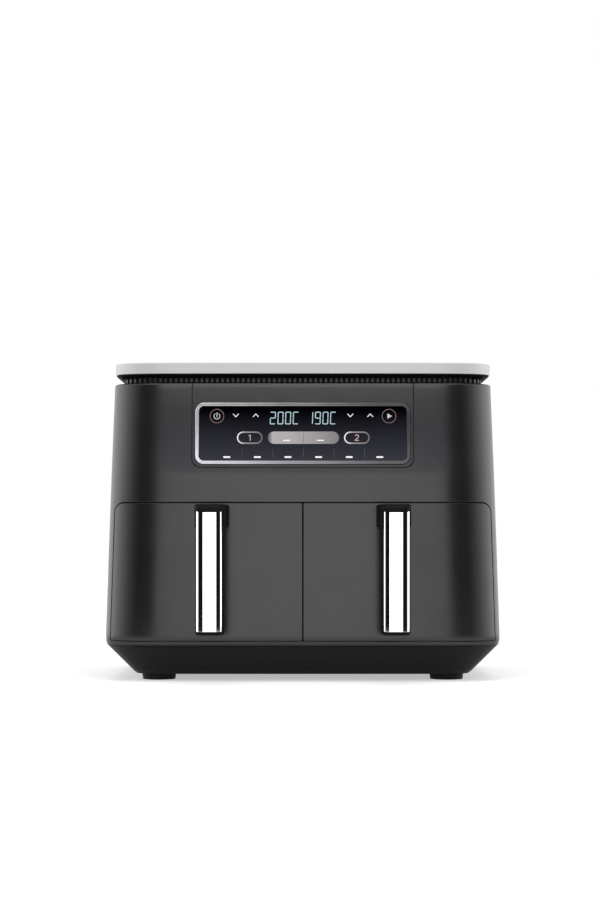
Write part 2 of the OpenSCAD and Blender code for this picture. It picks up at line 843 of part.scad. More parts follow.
// ---------- Drawers ----------
module right_drawer_front() {
  x0 = seam / 2;
  color(shell_grey) difference() {
    intersection() {
      body_form(door_z0 - over, door_z1 + over);
      along_y(front_face_y - over, door_back_y) polygon(door_outline(x0, 0));
    }
    intersection() {
      body_form(door_z0, door_z1, wall);
      along_y(front_face_y - over, door_back_y + over) polygon(door_outline(x0 + wall, -wall));
    }
  }
}

liner_t = 2.5;

module right_door_liner() {
  color(coating) {
    intersection() {
      body_form(door_z0, door_z1, wall + fit);
      along_y(door_back_y - liner_t, door_back_y)
        polygon(door_outline(seam / 2 + wall + fit, -wall - fit));
    }
    block([tab_x, tab_x + tab_w], [door_back_y - over, tab_end_y], [tab_z, tab_z + tab_h]);
  }
}

tub_corner_r = 24;
tub_bottom_r = 12;
tub_corner_steps = 5;
tub_mid_y = (tub_front_y + tub_back_y) / 2;
tub_curve = 30;

function tub_ring(e) = rounded_box(drawer_x - tub_w / 2 + e, drawer_x + tub_w / 2 - e,
  tub_front_y + e, tub_back_y - e, tub_corner_r - e, tub_corner_steps);

// The tub's form drawn in by t, with its bottom edge rounded.
module tub_form(t, z1) {
  r = tub_bottom_r - t;
  steps = concat(
    [for (a = [0 : tub_curve : 90]) [tub_z + t + r * (1 - cos(a)), t + r * (1 - sin(a))]],
    [[z1, t]]);
  skin([for (s = steps) tub_ring(s[1])], [for (s = steps) s[0]]);
}

module right_tub() {
  color(coating) difference() {
    union() {
      tub_form(0, tub_top_z);
      along_z(tub_top_z - rim_t, tub_top_z) polygon(rounded_box(
        drawer_x - tub_w / 2 - tub_rim_w, drawer_x + tub_w / 2 + tub_rim_w,
        tub_front_y, tub_back_y + tub_rim_w, tub_corner_r, tub_corner_steps));
    }
    tub_form(tub_t, tub_top_z + over);
  }
}

// Crisper plate and the four bumpers it stands on
plate_t = 1.6;
plate_lip = 5;
plate_gap = 1.5;
plate_z = tub_z + tub_t + plate_rise;
plate_edge = tub_t + plate_gap;
hole_r = 4;
// Two holes side by side, to lift the plate by
finger_r = 10;
finger_step = 12;
bumper_r = 6;
bumper_margin = 4;
bumper_in = tub_bottom_r + bumper_r + bumper_margin;
bumper_x = tub_w / 2 - bumper_in;
bumper_y = tub_l / 2 - bumper_in;
holes_x = floor((tub_w / 2 - plate_edge - hole_pitch / 2) / hole_pitch);
holes_y = floor((tub_l / 2 - plate_edge - hole_pitch / 2) / hole_pitch);

module right_crisper_plate() {
  color(coating) translate([0, 0, plate_z]) difference() {
    along_z(0, plate_t + plate_lip) polygon(tub_ring(plate_edge));
    along_z(plate_t, plate_t + plate_lip + over) polygon(tub_ring(plate_edge + plate_t));
    translate([drawer_x, tub_mid_y, -over]) {
      for (i = [-holes_x : holes_x]) for (j = [-holes_y : holes_y])
        if ((abs(i) < holes_x || abs(j) < holes_y - 1) && (i != 0 || abs(j) > 1))
          translate([i * hole_pitch, j * hole_pitch, 0])
            cylinder(r = hole_r, h = plate_t + 2 * over, $fn = 8);
      for (y = [-finger_step, finger_step])
        translate([0, y, 0]) cylinder(r = finger_r, h = plate_t + 2 * over);
    }
  }
}

module right_crisper_bumpers() {
  color(rubber) for (x = [-bumper_x, bumper_x]) for (y = [-bumper_y, bumper_y])
    translate([drawer_x + x, tub_mid_y + y, 0]) rod(bumper_r, tub_z + tub_t + fit, plate_z - fit / 2);
}

// ---------- Handles ----------
handle_corner_r = 6.2;
handle_flare = 3;
flare_start = 8;
handle_root = 12;
handle_root_y = front_face_y + handle_root;
handle_front_y = front_face_y - handle_reach;
grip_back_y = handle_front_y + grip_t;
handle_drop = 1.6;
handle_top_z = door_z1 - handle_drop;
handle_top_r = 7;
end_r = 2.5;
blend_r = 4;
stem_h = 23;
grip_curve_r = 30;
chrome_t = 1.2;
chrome_z1 = handle_top_z - handle_top_r;
chrome_z0 = chrome_z1 - chrome_l;
grip_end = 3.5;
handle_z0 = chrome_z0 - grip_end;
chrome_stop = 3;
chrome_back_y = grip_back_y - chrome_stop;

// Side view of a handle in Y and Z: a grip that hangs from a stem.
handle_side = concat(
  rounded(
    [[handle_root_y, handle_top_z], [handle_front_y, handle_top_z], [handle_front_y, handle_z0],
      [grip_back_y, handle_z0]],
    [over, handle_top_r, end_r, blend_r], 6),
  [for (a = [180 : -10 : 90])
    [grip_back_y + grip_curve_r + grip_curve_r * cos(a),
      handle_top_z - stem_h - grip_curve_r + grip_curve_r * sin(a)]],
  [[handle_root_y, handle_top_z - stem_h]]);

handle_x = drawer_x - handle_shift;
// Plan view of a handle of width w, e inside its surface; it flares where it meets the door.
function handle_plan(e, w = handle_w) =
  let (h = w / 2 - e, root = w / 2 + handle_flare - e)
  rounded(
    [[-h, handle_front_y + e], [h, handle_front_y + e], [h, grip_back_y + flare_start],
      [root, handle_root_y], [-root, handle_root_y], [-h, grip_back_y + flare_start]],
    [handle_corner_r - e, handle_corner_r - e, blend_r, over, over, blend_r], 6);

// The space that the chrome cover wraps round the grip, grown by g at its ends.
chrome_w = handle_w - 2 * chrome_in;
module chrome_zone(g) {
  block([-handle_w, handle_w], [handle_front_y - over, chrome_back_y + g],
    [chrome_z0 - g, chrome_z1 + g]);
}

module right_handle() {
  color(dark) difference() {
    translate([handle_x, 0, 0]) difference() {
      intersection() {
        along_x(-handle_w, handle_w) polygon(handle_side);
        along_z(handle_z0 - over, handle_top_z + over) polygon(handle_plan(0));
      }
      difference() {
        chrome_zone(fit / 2);
        along_z(handle_z0, handle_top_z) polygon(handle_plan(chrome_t + fit / 2, chrome_w));
      }
    }
    body_form(door_z0, door_z1 + over, -fit);
  }
}

module right_handle_cover() {
  color(silver) translate([handle_x, 0, 0]) intersection() {
    chrome_zone(0);
    along_z(chrome_z0 - over, chrome_z1 + over) difference() {
      polygon(handle_plan(0, chrome_w));
      polygon(handle_plan(chrome_t, chrome_w));
    }
  }
}

// ---------- Heating coil, guard, fan and motor ----------
module coil_turn(r, start) {
  rotate([0, 0, start]) rotate_extrude(angle = coil_end - start)
    translate([r, 0, 0]) circle(r = coil_tube_r, $fn = 24);
}

module right_coil() {
  color(copper) at_fan() {
    translate([0, 0, coil_z]) {
      coil_turn(coil_r - coil_gap, coil_starts[0]);
      coil_turn(coil_r, coil_starts[1]);
      for (a = [coil_starts[0], coil_end])
        rotate([0, 0, a]) translate([coil_r - coil_gap - sleeve_r, 0, 0])
          rotate([0, 90, 0]) rod(sleeve_r, 0, coil_gap + 2 * sleeve_r);
    }
    terminal_places() rod(sleeve_r, coil_z - sleeve_r, terminal_top_z);
  }
}

wire_r = 1.3;
guard_lift = 7;
guard_z = tub_top_z + guard_lift;
guard_margin = 8;
guard_r = coil_r + guard_margin;
guard_rings = 4;

module right_coil_guard() {
  color(silver) at_fan() {
    translate([0, 0, guard_z]) {
      for (i = [1 : guard_rings]) rotate_extrude()
        translate([guard_r * i / guard_rings, 0, 0]) circle(r = wire_r, $fn = 16);
      for (a = [45, 135]) rotate([0, 0, a])
        translate([-guard_r, 0, wire_r / 2]) rotate([0, 90, 0]) rod(wire_r, 0, 2 * guard_r);
    }
    for (a = [45 : 90 : 315]) rotate([0, 0, a])
      translate([guard_r, 0, 0]) rod(wire_r, guard_z, chamber_top_z - fit);
  }
}

shaft_slack = 0.1;
blade_h = 13;
disc_t = 1.2;
fan_drop = 5;
fan_top_z = chamber_top_z - fan_drop;
fan_z = fan_top_z - disc_t - blade_h;
hub_r = 9;
blade_t = 1.2;
blade_root = 12;
blade_tip_in = 2;
blade_sweep = 28;
blade_points = 5;

// One curved blade, seen from above.
function blade_edge(side) = [for (i = [0 : blade_points])
  let (t = i / blade_points, r = blade_root + (fan_r - blade_tip_in - blade_root) * t,
    a = blade_sweep * t * t)
  r * [cos(a), sin(a)] + side * blade_t / 2 * [-sin(a), cos(a)]];
function reversed(v) = [for (i = [len(v) - 1 : -1 : 0]) v[i]];

module right_fan() {
  color(silver) at_fan() difference() {
    union() {
      rod(fan_r, fan_top_z - disc_t, fan_top_z);
      rod(hub_r, fan_z, fan_top_z);
      for (i = [0 : blade_count - 1]) rotate([0, 0, i * 360 / blade_count])
        along_z(fan_z + over, fan_top_z - disc_t / 2)
          polygon(concat(blade_edge(-1), reversed(blade_edge(1))));
    }
    rod(shaft_r + shaft_slack / 2, fan_z - over, fan_top_z + over);
  }
}

bracket_z = chamber_top_z + sheet_t + fit;
bracket_t = 1.5;
bracket_margin = 9;
bracket_half = motor_r + bracket_margin;
post_h = 6;
motor_z = bracket_z + bracket_t + post_h + fit;
motor_top_z = motor_z + motor_h;
bell_t = 3;
bell_in = 6;
ear_r = 4.5;
ear_t = 2;
post_r = 3.5;
ear_reach = (bracket_half - ear_r) * sqrt(2) + post_r;
cooling_gap = 3;
cooling_h = 10;
cooling_fan_z = motor_top_z + cooling_gap;
cooling_margin = 6;
cooling_fan_r = motor_r + cooling_margin;
// The shaft's ends stand this far out of the two fans.
shaft_end = 2;
shaft_tip = 0.5;
shaft_z = fan_z - shaft_end;
shaft_top_z = cooling_fan_z + cooling_h + shaft_tip;

module bracket_corners() {
  for (x = [-1, 1]) for (y = [-1, 1])
    translate([x * (bracket_half - ear_r), y * (bracket_half - ear_r), 0]) children();
}

module right_motor_bracket() {
  color(silver) at_fan() difference() {
    union() {
      block([-bracket_half, bracket_half], [-bracket_half, bracket_half],
        [bracket_z, bracket_z + bracket_t]);
      bracket_corners() rod(post_r, bracket_z, bracket_z + bracket_t + post_h);
    }
    rod(shaft_r + shaft_room, bracket_z - over, bracket_z + bracket_t + over);
  }
}

module right_motor() {
  color(steel) at_fan() difference() {
    union() {
      rod(motor_r, motor_z + bell_t, motor_top_z - bell_t);
      rod(motor_r - bell_in, motor_z, motor_top_z);
      for (a = [45, 135]) rotate([0, 0, a])
        block([-ear_reach, ear_reach], [-ear_r, ear_r], [motor_z, motor_z + ear_t]);
    }
    rod(shaft_r + shaft_slack, motor_z - over, motor_top_z + over);
  }
}

module right_fan_shaft() {
  color(steel) at_fan() rod(shaft_r, shaft_z, shaft_top_z);
}

cooling_blades = 7;

module right_cooling_fan() {
  color(dark) at_fan() difference() {
    union() {
      rod(hub_r, cooling_fan_z, cooling_fan_z + cooling_h);
      rod(cooling_fan_r, cooling_fan_z, cooling_fan_z + disc_t);
      for (i = [0 : cooling_blades - 1]) rotate([0, 0, i * 360 / cooling_blades])
        block([hub_r - over, cooling_fan_r - over], [-blade_t / 2, blade_t / 2],
          [cooling_fan_z, cooling_fan_z + cooling_h]);
    }
    rod(shaft_r + shaft_slack / 2, cooling_fan_z - over, cooling_fan_z + cooling_h + over);
  }
}

// ---------- Left-hand copies ----------
module left_chamber() left_of() right_chamber();
module left_rails() left_of() right_rails();
module left_exhaust_duct() left_of() right_exhaust_duct();
module left_drawer_switch() left_of() right_drawer_switch();
module left_coil() left_of() right_coil();
module left_coil_guard() left_of() right_coil_guard();
module left_motor_bracket() left_of() right_motor_bracket();
module left_motor() left_of() right_motor();
module left_fan_shaft() left_of() right_fan_shaft();
module left_fan() left_of() right_fan();
module left_cooling_fan() left_of() right_cooling_fan();
module left_drawer_front() left_of() right_drawer_front();
module left_door_liner() left_of() right_door_liner();
module left_tub() left_of() right_tub();
module left_handle() left_of() right_handle();
module left_handle_cover() left_of() right_handle_cover();
module left_crisper_plate() left_of() right_crisper_plate();
module left_crisper_bumpers() left_of() right_crisper_bumpers();

outer_housing();
base_pan();
back_panel();
cord_inlet();
front_frame();
vent_neck();
lid_tray();
lid_plate();
control_facia();
bezel();
touch_glass();
display_board();
power_board();
front_left_foot();
front_right_foot();
back_left_foot();
back_right_foot();
foot_screws();
left_chamber();
right_chamber();
left_rails();
right_rails();
left_exhaust_duct();
right_exhaust_duct();
left_drawer_switch();
right_drawer_switch();
left_coil();
right_coil();
left_coil_guard();
right_coil_guard();
left_motor_bracket();
right_motor_bracket();
left_motor();
right_motor();
left_fan_shaft();
right_fan_shaft();
left_fan();
right_fan();
left_cooling_fan();
right_cooling_fan();
left_drawer_front();
right_drawer_front();
left_door_liner();
right_door_liner();
left_tub();
right_tub();
left_handle();
right_handle();
left_handle_cover();
right_handle_cover();
left_crisper_plate();
right_crisper_plate();
left_crisper_bumpers();
right_crisper_bumpers();
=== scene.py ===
# %% [markdown]
# # Countertop air fryer with two drawers
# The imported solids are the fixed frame: they say how big each piece is and where it sits. This
# script gives the pieces that show their smooth moulded surfaces and their finishes, and adds a
# plain studio and a camera. X runs to the right, the front faces -Y, Z is up and the table is at
# Z = 0. The frame is in metres. A moulding is drawn in millimetres, so the sizes below are too,
# and they are turned into metres when a mesh is made.

# %% Load the frame
import json
import math
import bpy
import numpy as np
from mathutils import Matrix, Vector
from mathutils.geometry import delaunay_2d_cdt


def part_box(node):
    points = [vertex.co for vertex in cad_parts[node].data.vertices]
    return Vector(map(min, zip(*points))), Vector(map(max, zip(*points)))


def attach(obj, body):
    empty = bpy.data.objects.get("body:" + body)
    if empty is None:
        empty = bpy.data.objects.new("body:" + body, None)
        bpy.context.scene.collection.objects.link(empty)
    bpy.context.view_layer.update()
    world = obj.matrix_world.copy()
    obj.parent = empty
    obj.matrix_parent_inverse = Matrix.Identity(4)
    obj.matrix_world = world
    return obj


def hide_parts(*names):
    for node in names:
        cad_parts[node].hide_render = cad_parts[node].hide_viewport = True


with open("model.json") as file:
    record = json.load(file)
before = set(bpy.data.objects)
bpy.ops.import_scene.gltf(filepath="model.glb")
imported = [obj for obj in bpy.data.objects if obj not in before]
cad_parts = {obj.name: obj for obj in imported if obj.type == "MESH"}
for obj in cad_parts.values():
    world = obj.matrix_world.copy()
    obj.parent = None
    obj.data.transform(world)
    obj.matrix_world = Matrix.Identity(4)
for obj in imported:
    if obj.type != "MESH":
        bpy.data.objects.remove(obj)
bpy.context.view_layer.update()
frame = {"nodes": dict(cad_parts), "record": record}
NODES = frame["nodes"]
MM = 0.001


def box_mm(node):
    """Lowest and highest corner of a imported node, in millimetres."""
    lo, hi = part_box(node)
    return np.array(lo) / MM, np.array(hi) / MM


# %% [markdown]
# ## Camera
# A long lens, level, a little below the fryer's middle height and two metres in front of its
# middle. To let the fryer stand low in the frame the camera could be tilted, but then the upright
# lines of the housing would lean together. So the lens is shifted instead, as on a view camera.

# %% Camera
CAMERA_PLACE = (0, -2.06, 0.1395)
scene = bpy.context.scene
lens = bpy.data.cameras.new("camera")
lens.sensor_fit = "VERTICAL"
lens.sensor_height = 36
lens.lens = 80
lens.shift_x = -0.0031
lens.shift_y = 0.0989
camera = bpy.data.objects.new("camera", lens)
camera.location = CAMERA_PLACE
camera.rotation_euler = (math.radians(90), 0, 0)
scene.collection.objects.link(camera)
scene.camera = camera
scene.view_settings.view_transform = "Standard"
print("camera at", CAMERA_PLACE)

# %% [markdown]
# ## Room and floor
# The fryer stands on a white floor in an even white room. A white floor could be had by more
# light, but that would also wash out the fryer. So the floor's glow and the last fifth of the
# room's light are there only for the camera, for mirrors and for glass, and the light that falls
# on the fryer stays at a plain level.

# %% Room and floor
FLOOR_GLOW = 0.45
FLOOR_ALBEDO = 0.8
ROOM_LIGHT = 0.8


def maths(nt, operation, first, second=None, clamp=False):
    """A maths node; first and second are links or plain numbers."""
    node = nt.nodes.new("ShaderNodeMath")
    node.operation = operation
    node.use_clamp = clamp
    for socket, value in zip(node.inputs, (first, second)):
        if isinstance(value, bpy.types.NodeSocket):
            nt.links.new(value, socket)
        elif value is not None:
            socket.default_value = value
    return node.outputs[0]


def seen_share(nt):
    """1 for what the camera, a mirror or a glass sees, 0 for diffuse light."""
    path = nt.nodes.new("ShaderNodeLightPath").outputs
    either = maths(nt, "ADD", path["Is Camera Ray"], path["Is Glossy Ray"])
    return maths(nt, "ADD", either, path["Is Transmission Ray"], clamp=True)


def node_material(name):
    """A new material with its node tree and its main shader."""
    mat = bpy.data.materials.new(name)
    mat.use_nodes = True
    return mat, mat.node_tree, mat.node_tree.nodes["Principled BSDF"]


room = bpy.data.worlds.new("studio")
scene.world = room
room.use_nodes = True
nt = room.node_tree
background = nt.nodes["Background"]
background.inputs["Color"].default_value = (1, 1, 1, 1)
level = nt.nodes.new("ShaderNodeMapRange")
level.inputs["To Min"].default_value = ROOM_LIGHT
level.inputs["To Max"].default_value = 1.0
nt.links.new(seen_share(nt), level.inputs["Value"])
nt.links.new(level.outputs[0], background.inputs["Strength"])

floor_mat, nt, shader = node_material("floor")
shader.inputs["Base Color"].default_value = (FLOOR_ALBEDO, FLOOR_ALBEDO, FLOOR_ALBEDO, 1)
shader.inputs["Roughness"].default_value = 1.0
shader.inputs["Specular IOR Level"].default_value = 0.0
shader.inputs["Emission Color"].default_value = (1, 1, 1, 1)
glow = maths(nt, "MULTIPLY", seen_share(nt), FLOOR_GLOW)
nt.links.new(glow, shader.inputs["Emission Strength"])


def stage(name, verts, faces, material):
    """A piece of the studio, which isn't part of the fryer."""
    mesh = bpy.data.meshes.new(name)
    mesh.from_pydata(verts, [], faces)
    mesh.materials.append(material)
    obj = bpy.data.objects.new(name, mesh)
    scene.collection.objects.link(obj)
    return obj


floor = stage("floor", [(-9, -9, 0), (9, -9, 0), (9, 9, 0), (-9, 9, 0)], [(0, 1, 2, 3)], floor_mat)
floor.location.z = -0.0001
print("room and floor")

# %% [markdown]
# ## Soft boxes
# Smooth dark plastic and chrome show little but what they reflect. Lamps alone would give them
# hard spots, so they reflect a curved wall of soft boxes, which stands round the front and the
# sides and is seen only in reflections. The card in the middle gives the flat front its even grey
# and, higher up, the touch glass its slow change from grey to black. The side boxes are black next
# to the card, for the dark bands at the front corners, and bright farther round, for the bright
# outer edges.

# %% Light that changes along a ramp
def ramp(nt, place, stops):
    """A ramp over place, which runs from 0 to 1; stops are (place, colour)."""
    node = nt.nodes.new("ShaderNodeValToRGB")
    elements = node.color_ramp.elements
    elements[0].position, elements[1].position = stops[0][0], stops[-1][0]
    for at, _ in stops[1:-1]:
        elements.new(at)
    for element, (_, colour) in zip(elements, stops):
        element.color = (*colour, 1)
    nt.links.new(place, node.inputs[0])
    return node.outputs[0]


def split_position(nt):
    """X, Y and Z of the point, as separate links."""
    coord = nt.nodes.new("ShaderNodeTexCoord")
    split = nt.nodes.new("ShaderNodeSeparateXYZ")
    nt.links.new(coord.outputs["Object"], split.inputs[0])
    return split.outputs


def height(nt, at):
    """Height on the wall, in metres."""
    return at["Z"]


def turn_from_front(nt, at):
    """Angle round the wall from straight in front, in degrees, the same on both sides."""
    turn = maths(nt, "ARCTAN2", maths(nt, "ABSOLUTE", at["X"]), maths(nt, "MULTIPLY", at["Y"], -1))
    return maths(nt, "DEGREES", turn)


def soft_box(name, place_of, full, stops, peak=4):
    """Light that changes along the wall: full is the place that counts as the ramp's end, and
    stops are (place, brightness), with a tint where there is one."""
    mat, nt, _ = node_material(name)
    nt.nodes.clear()
    out = nt.nodes.new("ShaderNodeOutputMaterial")
    emit = nt.nodes.new("ShaderNodeEmission")
    emit.inputs["Strength"].default_value = peak
    place = maths(nt, "DIVIDE", place_of(nt, split_position(nt)), full)
    colours = []
    for at, bright, *tint in stops:
        colours.append((at / full, [bright / peak * c for c in (tint[0] if tint else (1, 1, 1))]))
    nt.links.new(ramp(nt, place, colours), emit.inputs["Color"])
    nt.links.new(emit.outputs[0], out.inputs["Surface"])
    return mat


COOL = (0.95, 0.96, 1.28)
CARD_STOPS = [(0.0, 2.12), (0.36, 2.15), (0.42, 2.15), (0.445, 1.08, COOL), (0.53, 0.0, COOL),
              (0.565, 0.0, COOL), (0.585, 3.1), (1.1, 2.6)]
SIDE_STOPS = [(14.4, 0.005), (30.0, 0.01), (34.0, 0.2), (42.0, 0.65), (51.5, 1.4), (64.0, 2.3),
              (79.0, 3.2), (94.0, 3.2), (125.0, 2.0), (140.0, 1.0)]
card_light = soft_box("card", height, 2.0, CARD_STOPS)
side_light = soft_box("side_boxes", turn_from_front, 180.0, SIDE_STOPS)
print("soft boxes: card", len(CARD_STOPS), "stops, sides", len(SIDE_STOPS))

# %% [markdown]
# ## The wall
# The wall is a part of a cylinder round the fryer, so that the boxes stay equally far from it. The
# card is a little wider above a step, so that the upper body, which leans back further, is as
# evenly grey as the drawers. A wide lamp overhead gives the floor its soft shadow.

# %% The wall and the top light
WALL_R = 1.2
WALL_TOP = 1.1
WALL_END = 140
CARD_STEP = 0.365
CARD_EDGE_LOW, CARD_EDGE_HIGH = 13.9, 15.8


def wall(name, first, last, low, top, material):
    """A strip of upright wall round the fryer, from one angle off the front to another."""
    steps = max(2, int(abs(last - first) / 2))
    verts, faces = [], []
    for k in range(steps + 1):
        a = math.radians(first + (last - first) * k / steps)
        verts += [(WALL_R * math.sin(a), -WALL_R * math.cos(a), z) for z in (low, top)]
        if k:
            faces.append((2 * k - 2, 2 * k, 2 * k + 1, 2 * k - 1))
    obj = stage(name, verts, faces, material)
    obj.visible_camera = obj.visible_diffuse = obj.visible_shadow = False


for part, edge, low, top in (("low", CARD_EDGE_LOW, 0, CARD_STEP),
                             ("high", CARD_EDGE_HIGH, CARD_STEP, WALL_TOP)):
    wall(f"card_{part}", -edge, edge, low, top, card_light)
    wall(f"side_boxes_left_{part}", -edge, -WALL_END, low, top, side_light)
    wall(f"side_boxes_right_{part}", edge, WALL_END, low, top, side_light)

TOP_PLACE, TOP_AIM = Vector((0, -0.9, 2.3)), Vector((0, 0, 0.15))
lamp = bpy.data.lights.new("top_light", "AREA")
lamp.shape = "RECTANGLE"
lamp.size, lamp.size_y = 1.6, 1.2
lamp.energy = 14
top_light = bpy.data.objects.new("top_light", lamp)
top_light.location = TOP_PLACE
top_light.rotation_euler = (TOP_AIM - TOP_PLACE).to_track_quat("-Z", "Y").to_euler()
scene.collection.objects.link(top_light)
print("wall: card, side boxes; top light", lamp.energy, "W")

# %% [markdown]
# ## The shared outer surface
# On the real fryer the drawer fronts, the facia, the bezel and the glass all lie in the face of
# one moulded form, so their edges meet. Each could be modelled by itself and fitted, but then the
# gaps would wander. Here they are all cut from one surface. In plan the form has a slightly bowed
# front, front corners that are a quarter of a superellipse and round back corners. It tapers
# towards the top, and the front leans back, more steeply above a crease. A place on it is named
# by the length round the outline from the front's middle, and by the length up the profile.

# %% The form's sizes and its outline
lo, hi = box_mm("outer_housing")
HALF_W, FRONT_Y, BACK_Y = hi[0], lo[1], hi[1]
BASE_TOP, SHOULDER = lo[2], hi[2]
LIP_H, LIP_IN = 8, 1.2
WIDEST = BASE_TOP + LIP_H
SHOULDER_R = 1.8
SIDE_TAPER = 8.2
SLOPE = SIDE_TAPER / (SHOULDER - WIDEST)
CREASE, CREASE_SOFT = 203.5, 1.2
LEAN_LOW, LEAN_HIGH = math.tan(math.radians(1.5)), math.tan(math.radians(5))
CORNER_W, CORNER_D, CORNER_POWER, BACK_R, BOW = 58.0, 34.0, 2.8, 34.0, 2.5
FLAT_N, CORNER_N, BACK_N, SIDE_N = 32, 97, 49, 12
FRONT_N = FLAT_N + CORNER_N


def lean(z):
    """How far the front has leant back at height z, with a softly rounded crease."""
    up = np.maximum(0, z - WIDEST)
    past = z - CREASE
    soft = 0.5 * (past + np.sqrt(past ** 2 + CREASE_SOFT ** 2))
    return LEAN_LOW * up + (LEAN_HIGH - LEAN_LOW) * soft


def half_width(z):
    return HALF_W - SLOPE * max(0, z - WIDEST)


def corner_curve(n, power):
    """A quarter of a superellipse: its angles, and how far out it lies at each."""
    a = np.linspace(0, math.pi / 2, n)
    return a, (np.sin(a) ** power + np.cos(a) ** power) ** (-1 / power)


def outline(z, inset=0.0, loss=None):
    """Right half of the plan outline, from the front's middle to the back's middle. loss is what
    the corners lose of their size, which is the inset where it isn't given."""
    loss = inset if loss is None else loss
    hw = half_width(z) - inset
    cw, cd, rb = CORNER_W - loss, CORNER_D - loss, BACK_R - loss
    y0, y1 = FRONT_Y + lean(z) + inset, BACK_Y - inset
    a, r = corner_curve(CORNER_N, CORNER_POWER)
    x = np.concatenate([np.linspace(0, hw - cw, FLAT_N + 1)[:-1], hw - cw + cw * r * np.sin(a)])
    y = np.concatenate([np.full(FLAT_N, y0), y0 + cd - cd * r * np.cos(a)])
    y += BOW * (x / HALF_W) ** 2
    b = np.linspace(0, math.pi / 2, BACK_N)
    bx, by = hw - rb + rb * np.cos(b), y1 - rb + rb * np.sin(b)
    side = np.linspace(y[-1], by[0], SIDE_N)[1:-1]
    back = np.linspace(bx[-1], 0, SIDE_N)[1:]
    return (np.concatenate([x, np.full(len(side), hw), bx, back]),
            np.concatenate([y, side, by, np.full(len(back), y1)]))


def lengths(x, y):
    """Length along a line at each of its points."""
    return np.concatenate([[0], np.cumsum(np.hypot(np.diff(x), np.diff(y)))])


MID_BODY = 150.0
FULL = lengths(*outline(MID_BODY))[-1]
print("half outline", round(FULL, 1), "mm")

# %% [markdown]
# ## Places on the surface
# The form gets narrower towards the top, so the outline gets shorter. If lengths were kept as they
# are, a panel's edge would drift round the back. So every outline is stretched behind its flat
# front to the same full length, and a grid drawn flat in lengths lies evenly on the whole form.

# %% Places and normals
SHOULDER_START = SHOULDER - SHOULDER_R
ROUND_LEN = SHOULDER_R * math.pi / 2
ROUND_END = SHOULDER_START + ROUND_LEN
SHOULDER_ROWS = [SHOULDER_START + ROUND_LEN * k / 6 for k in range(7)]
NORMAL_REACH = 0.6


def profile(w):
    """Height and inset at a length w up the profile: the lip, the side, the shoulder, the deck."""
    if w <= SHOULDER_START:
        low = max(0.0, (WIDEST - w) / (WIDEST - BASE_TOP))
        return w, LIP_IN * low ** 3
    if w <= ROUND_END:
        t = (w - SHOULDER_START) / SHOULDER_R
        return SHOULDER_START + SHOULDER_R * math.sin(t), SHOULDER_R * (1 - math.cos(t))
    return SHOULDER, SHOULDER_R + (w - ROUND_END)


known_rows = {}


def row(w):
    """The outline at profile length w: its points, the lengths along it and its height."""
    key = round(float(w), 4)
    if key not in known_rows:
        z, inset = profile(key)
        x, y = outline(z, inset)
        s = lengths(x, y)
        flat = s[FLAT_N]
        s = np.where(s > flat, flat + (s - flat) * (FULL - flat) / (s[-1] - flat), s)
        known_rows[key] = (x, y, s, z)
    return known_rows[key]


def place(u, w):
    """Point of the surface, in millimetres. Negative u is the left-hand side."""
    x, y, s, z = row(w)
    a = abs(u)
    sign = 1 if u >= 0 else -1
    if a > FULL:
        a, sign = 2 * FULL - a, -sign
    return np.array([sign * np.interp(a, s, x), np.interp(a, s, y), z])


def unit(vectors):
    return vectors / np.linalg.norm(vectors, axis=1)[:, None]


def surface(uw):
    """Points and outward normals for many (u, w)."""
    h = NORMAL_REACH
    pts = np.array([place(u, w) for u, w in uw])
    du = np.array([place(u + h, w) - place(u - h, w) for u, w in uw])
    dw = np.array([place(u, w + h / 2) - place(u, w - h / 2) for u, w in uw])
    return pts, unit(np.cross(du, dw))


def across(x, w):
    """Length round the front that lies at a distance x from the middle."""
    px, _, s, _ = row(w)
    u = np.interp(abs(x), px[:FRONT_N], s[:FRONT_N])
    return u if x >= 0 else -u


print("front of the facia leans back", round(float(place(0, 260)[1] - FRONT_Y), 1), "mm")

# %% [markdown]
# ## Flat outlines
# A moulded panel starts as a flat outline of straight lines with rounded corners. A bevel could
# round the corners after the mesh is made, but its faces would be uneven. Here the arcs are part
# of the outline, so their size is exact and every panel has the same quality of edge.

# %% Rounded outlines
LAID_STEP = 2.4


def rounded(pts, radii, step=7.5):
    """Closed outline through pts with arcs of the given radii, corner by corner; step is the
    angle between an arc's points, in degrees."""
    out = []
    for i, p in enumerate(pts):
        p = np.array(p, float)
        a, b = np.array(pts[i - 1], float), np.array(pts[(i + 1) % len(pts)], float)
        u, v = (a - p) / np.linalg.norm(a - p), (b - p) / np.linalg.norm(b - p)
        half = math.acos(float(np.clip(u @ v, -1, 1))) / 2
        c = p + (u + v) / np.linalg.norm(u + v) * radii[i] / math.sin(half)
        start = p + u * radii[i] / math.tan(half) - c
        end = p + v * radii[i] / math.tan(half) - c
        a0, a1 = math.atan2(start[1], start[0]), math.atan2(end[1], end[0])
        da = (a1 - a0 + math.pi) % (2 * math.pi) - math.pi
        n = max(3, int(abs(math.degrees(da)) / step))
        turns = [a0 + da * k / n for k in range(n + 1)]
        out += [c + radii[i] * np.array([math.cos(t), math.sin(t)]) for t in turns]
    return np.array(out)


def box_outline(x0, x1, z0, z1, r):
    return rounded([(x0, z0), (x1, z0), (x1, z1), (x0, z1)], [r] * 4)


def dense(loop, step=LAID_STEP):
    """The same closed outline with no stretch longer than step."""
    out = []
    for p, q in zip(loop, np.roll(loop, -1, axis=0)):
        n = max(1, int(math.ceil(np.linalg.norm(q - p) / step)))
        out += [p + (q - p) * k / n for k in range(n)]
    return np.array(out)


def laid(loop):
    """An outline in x and height, turned into lengths round and up the surface."""
    return np.array([(across(x, w), w) for x, w in loop])


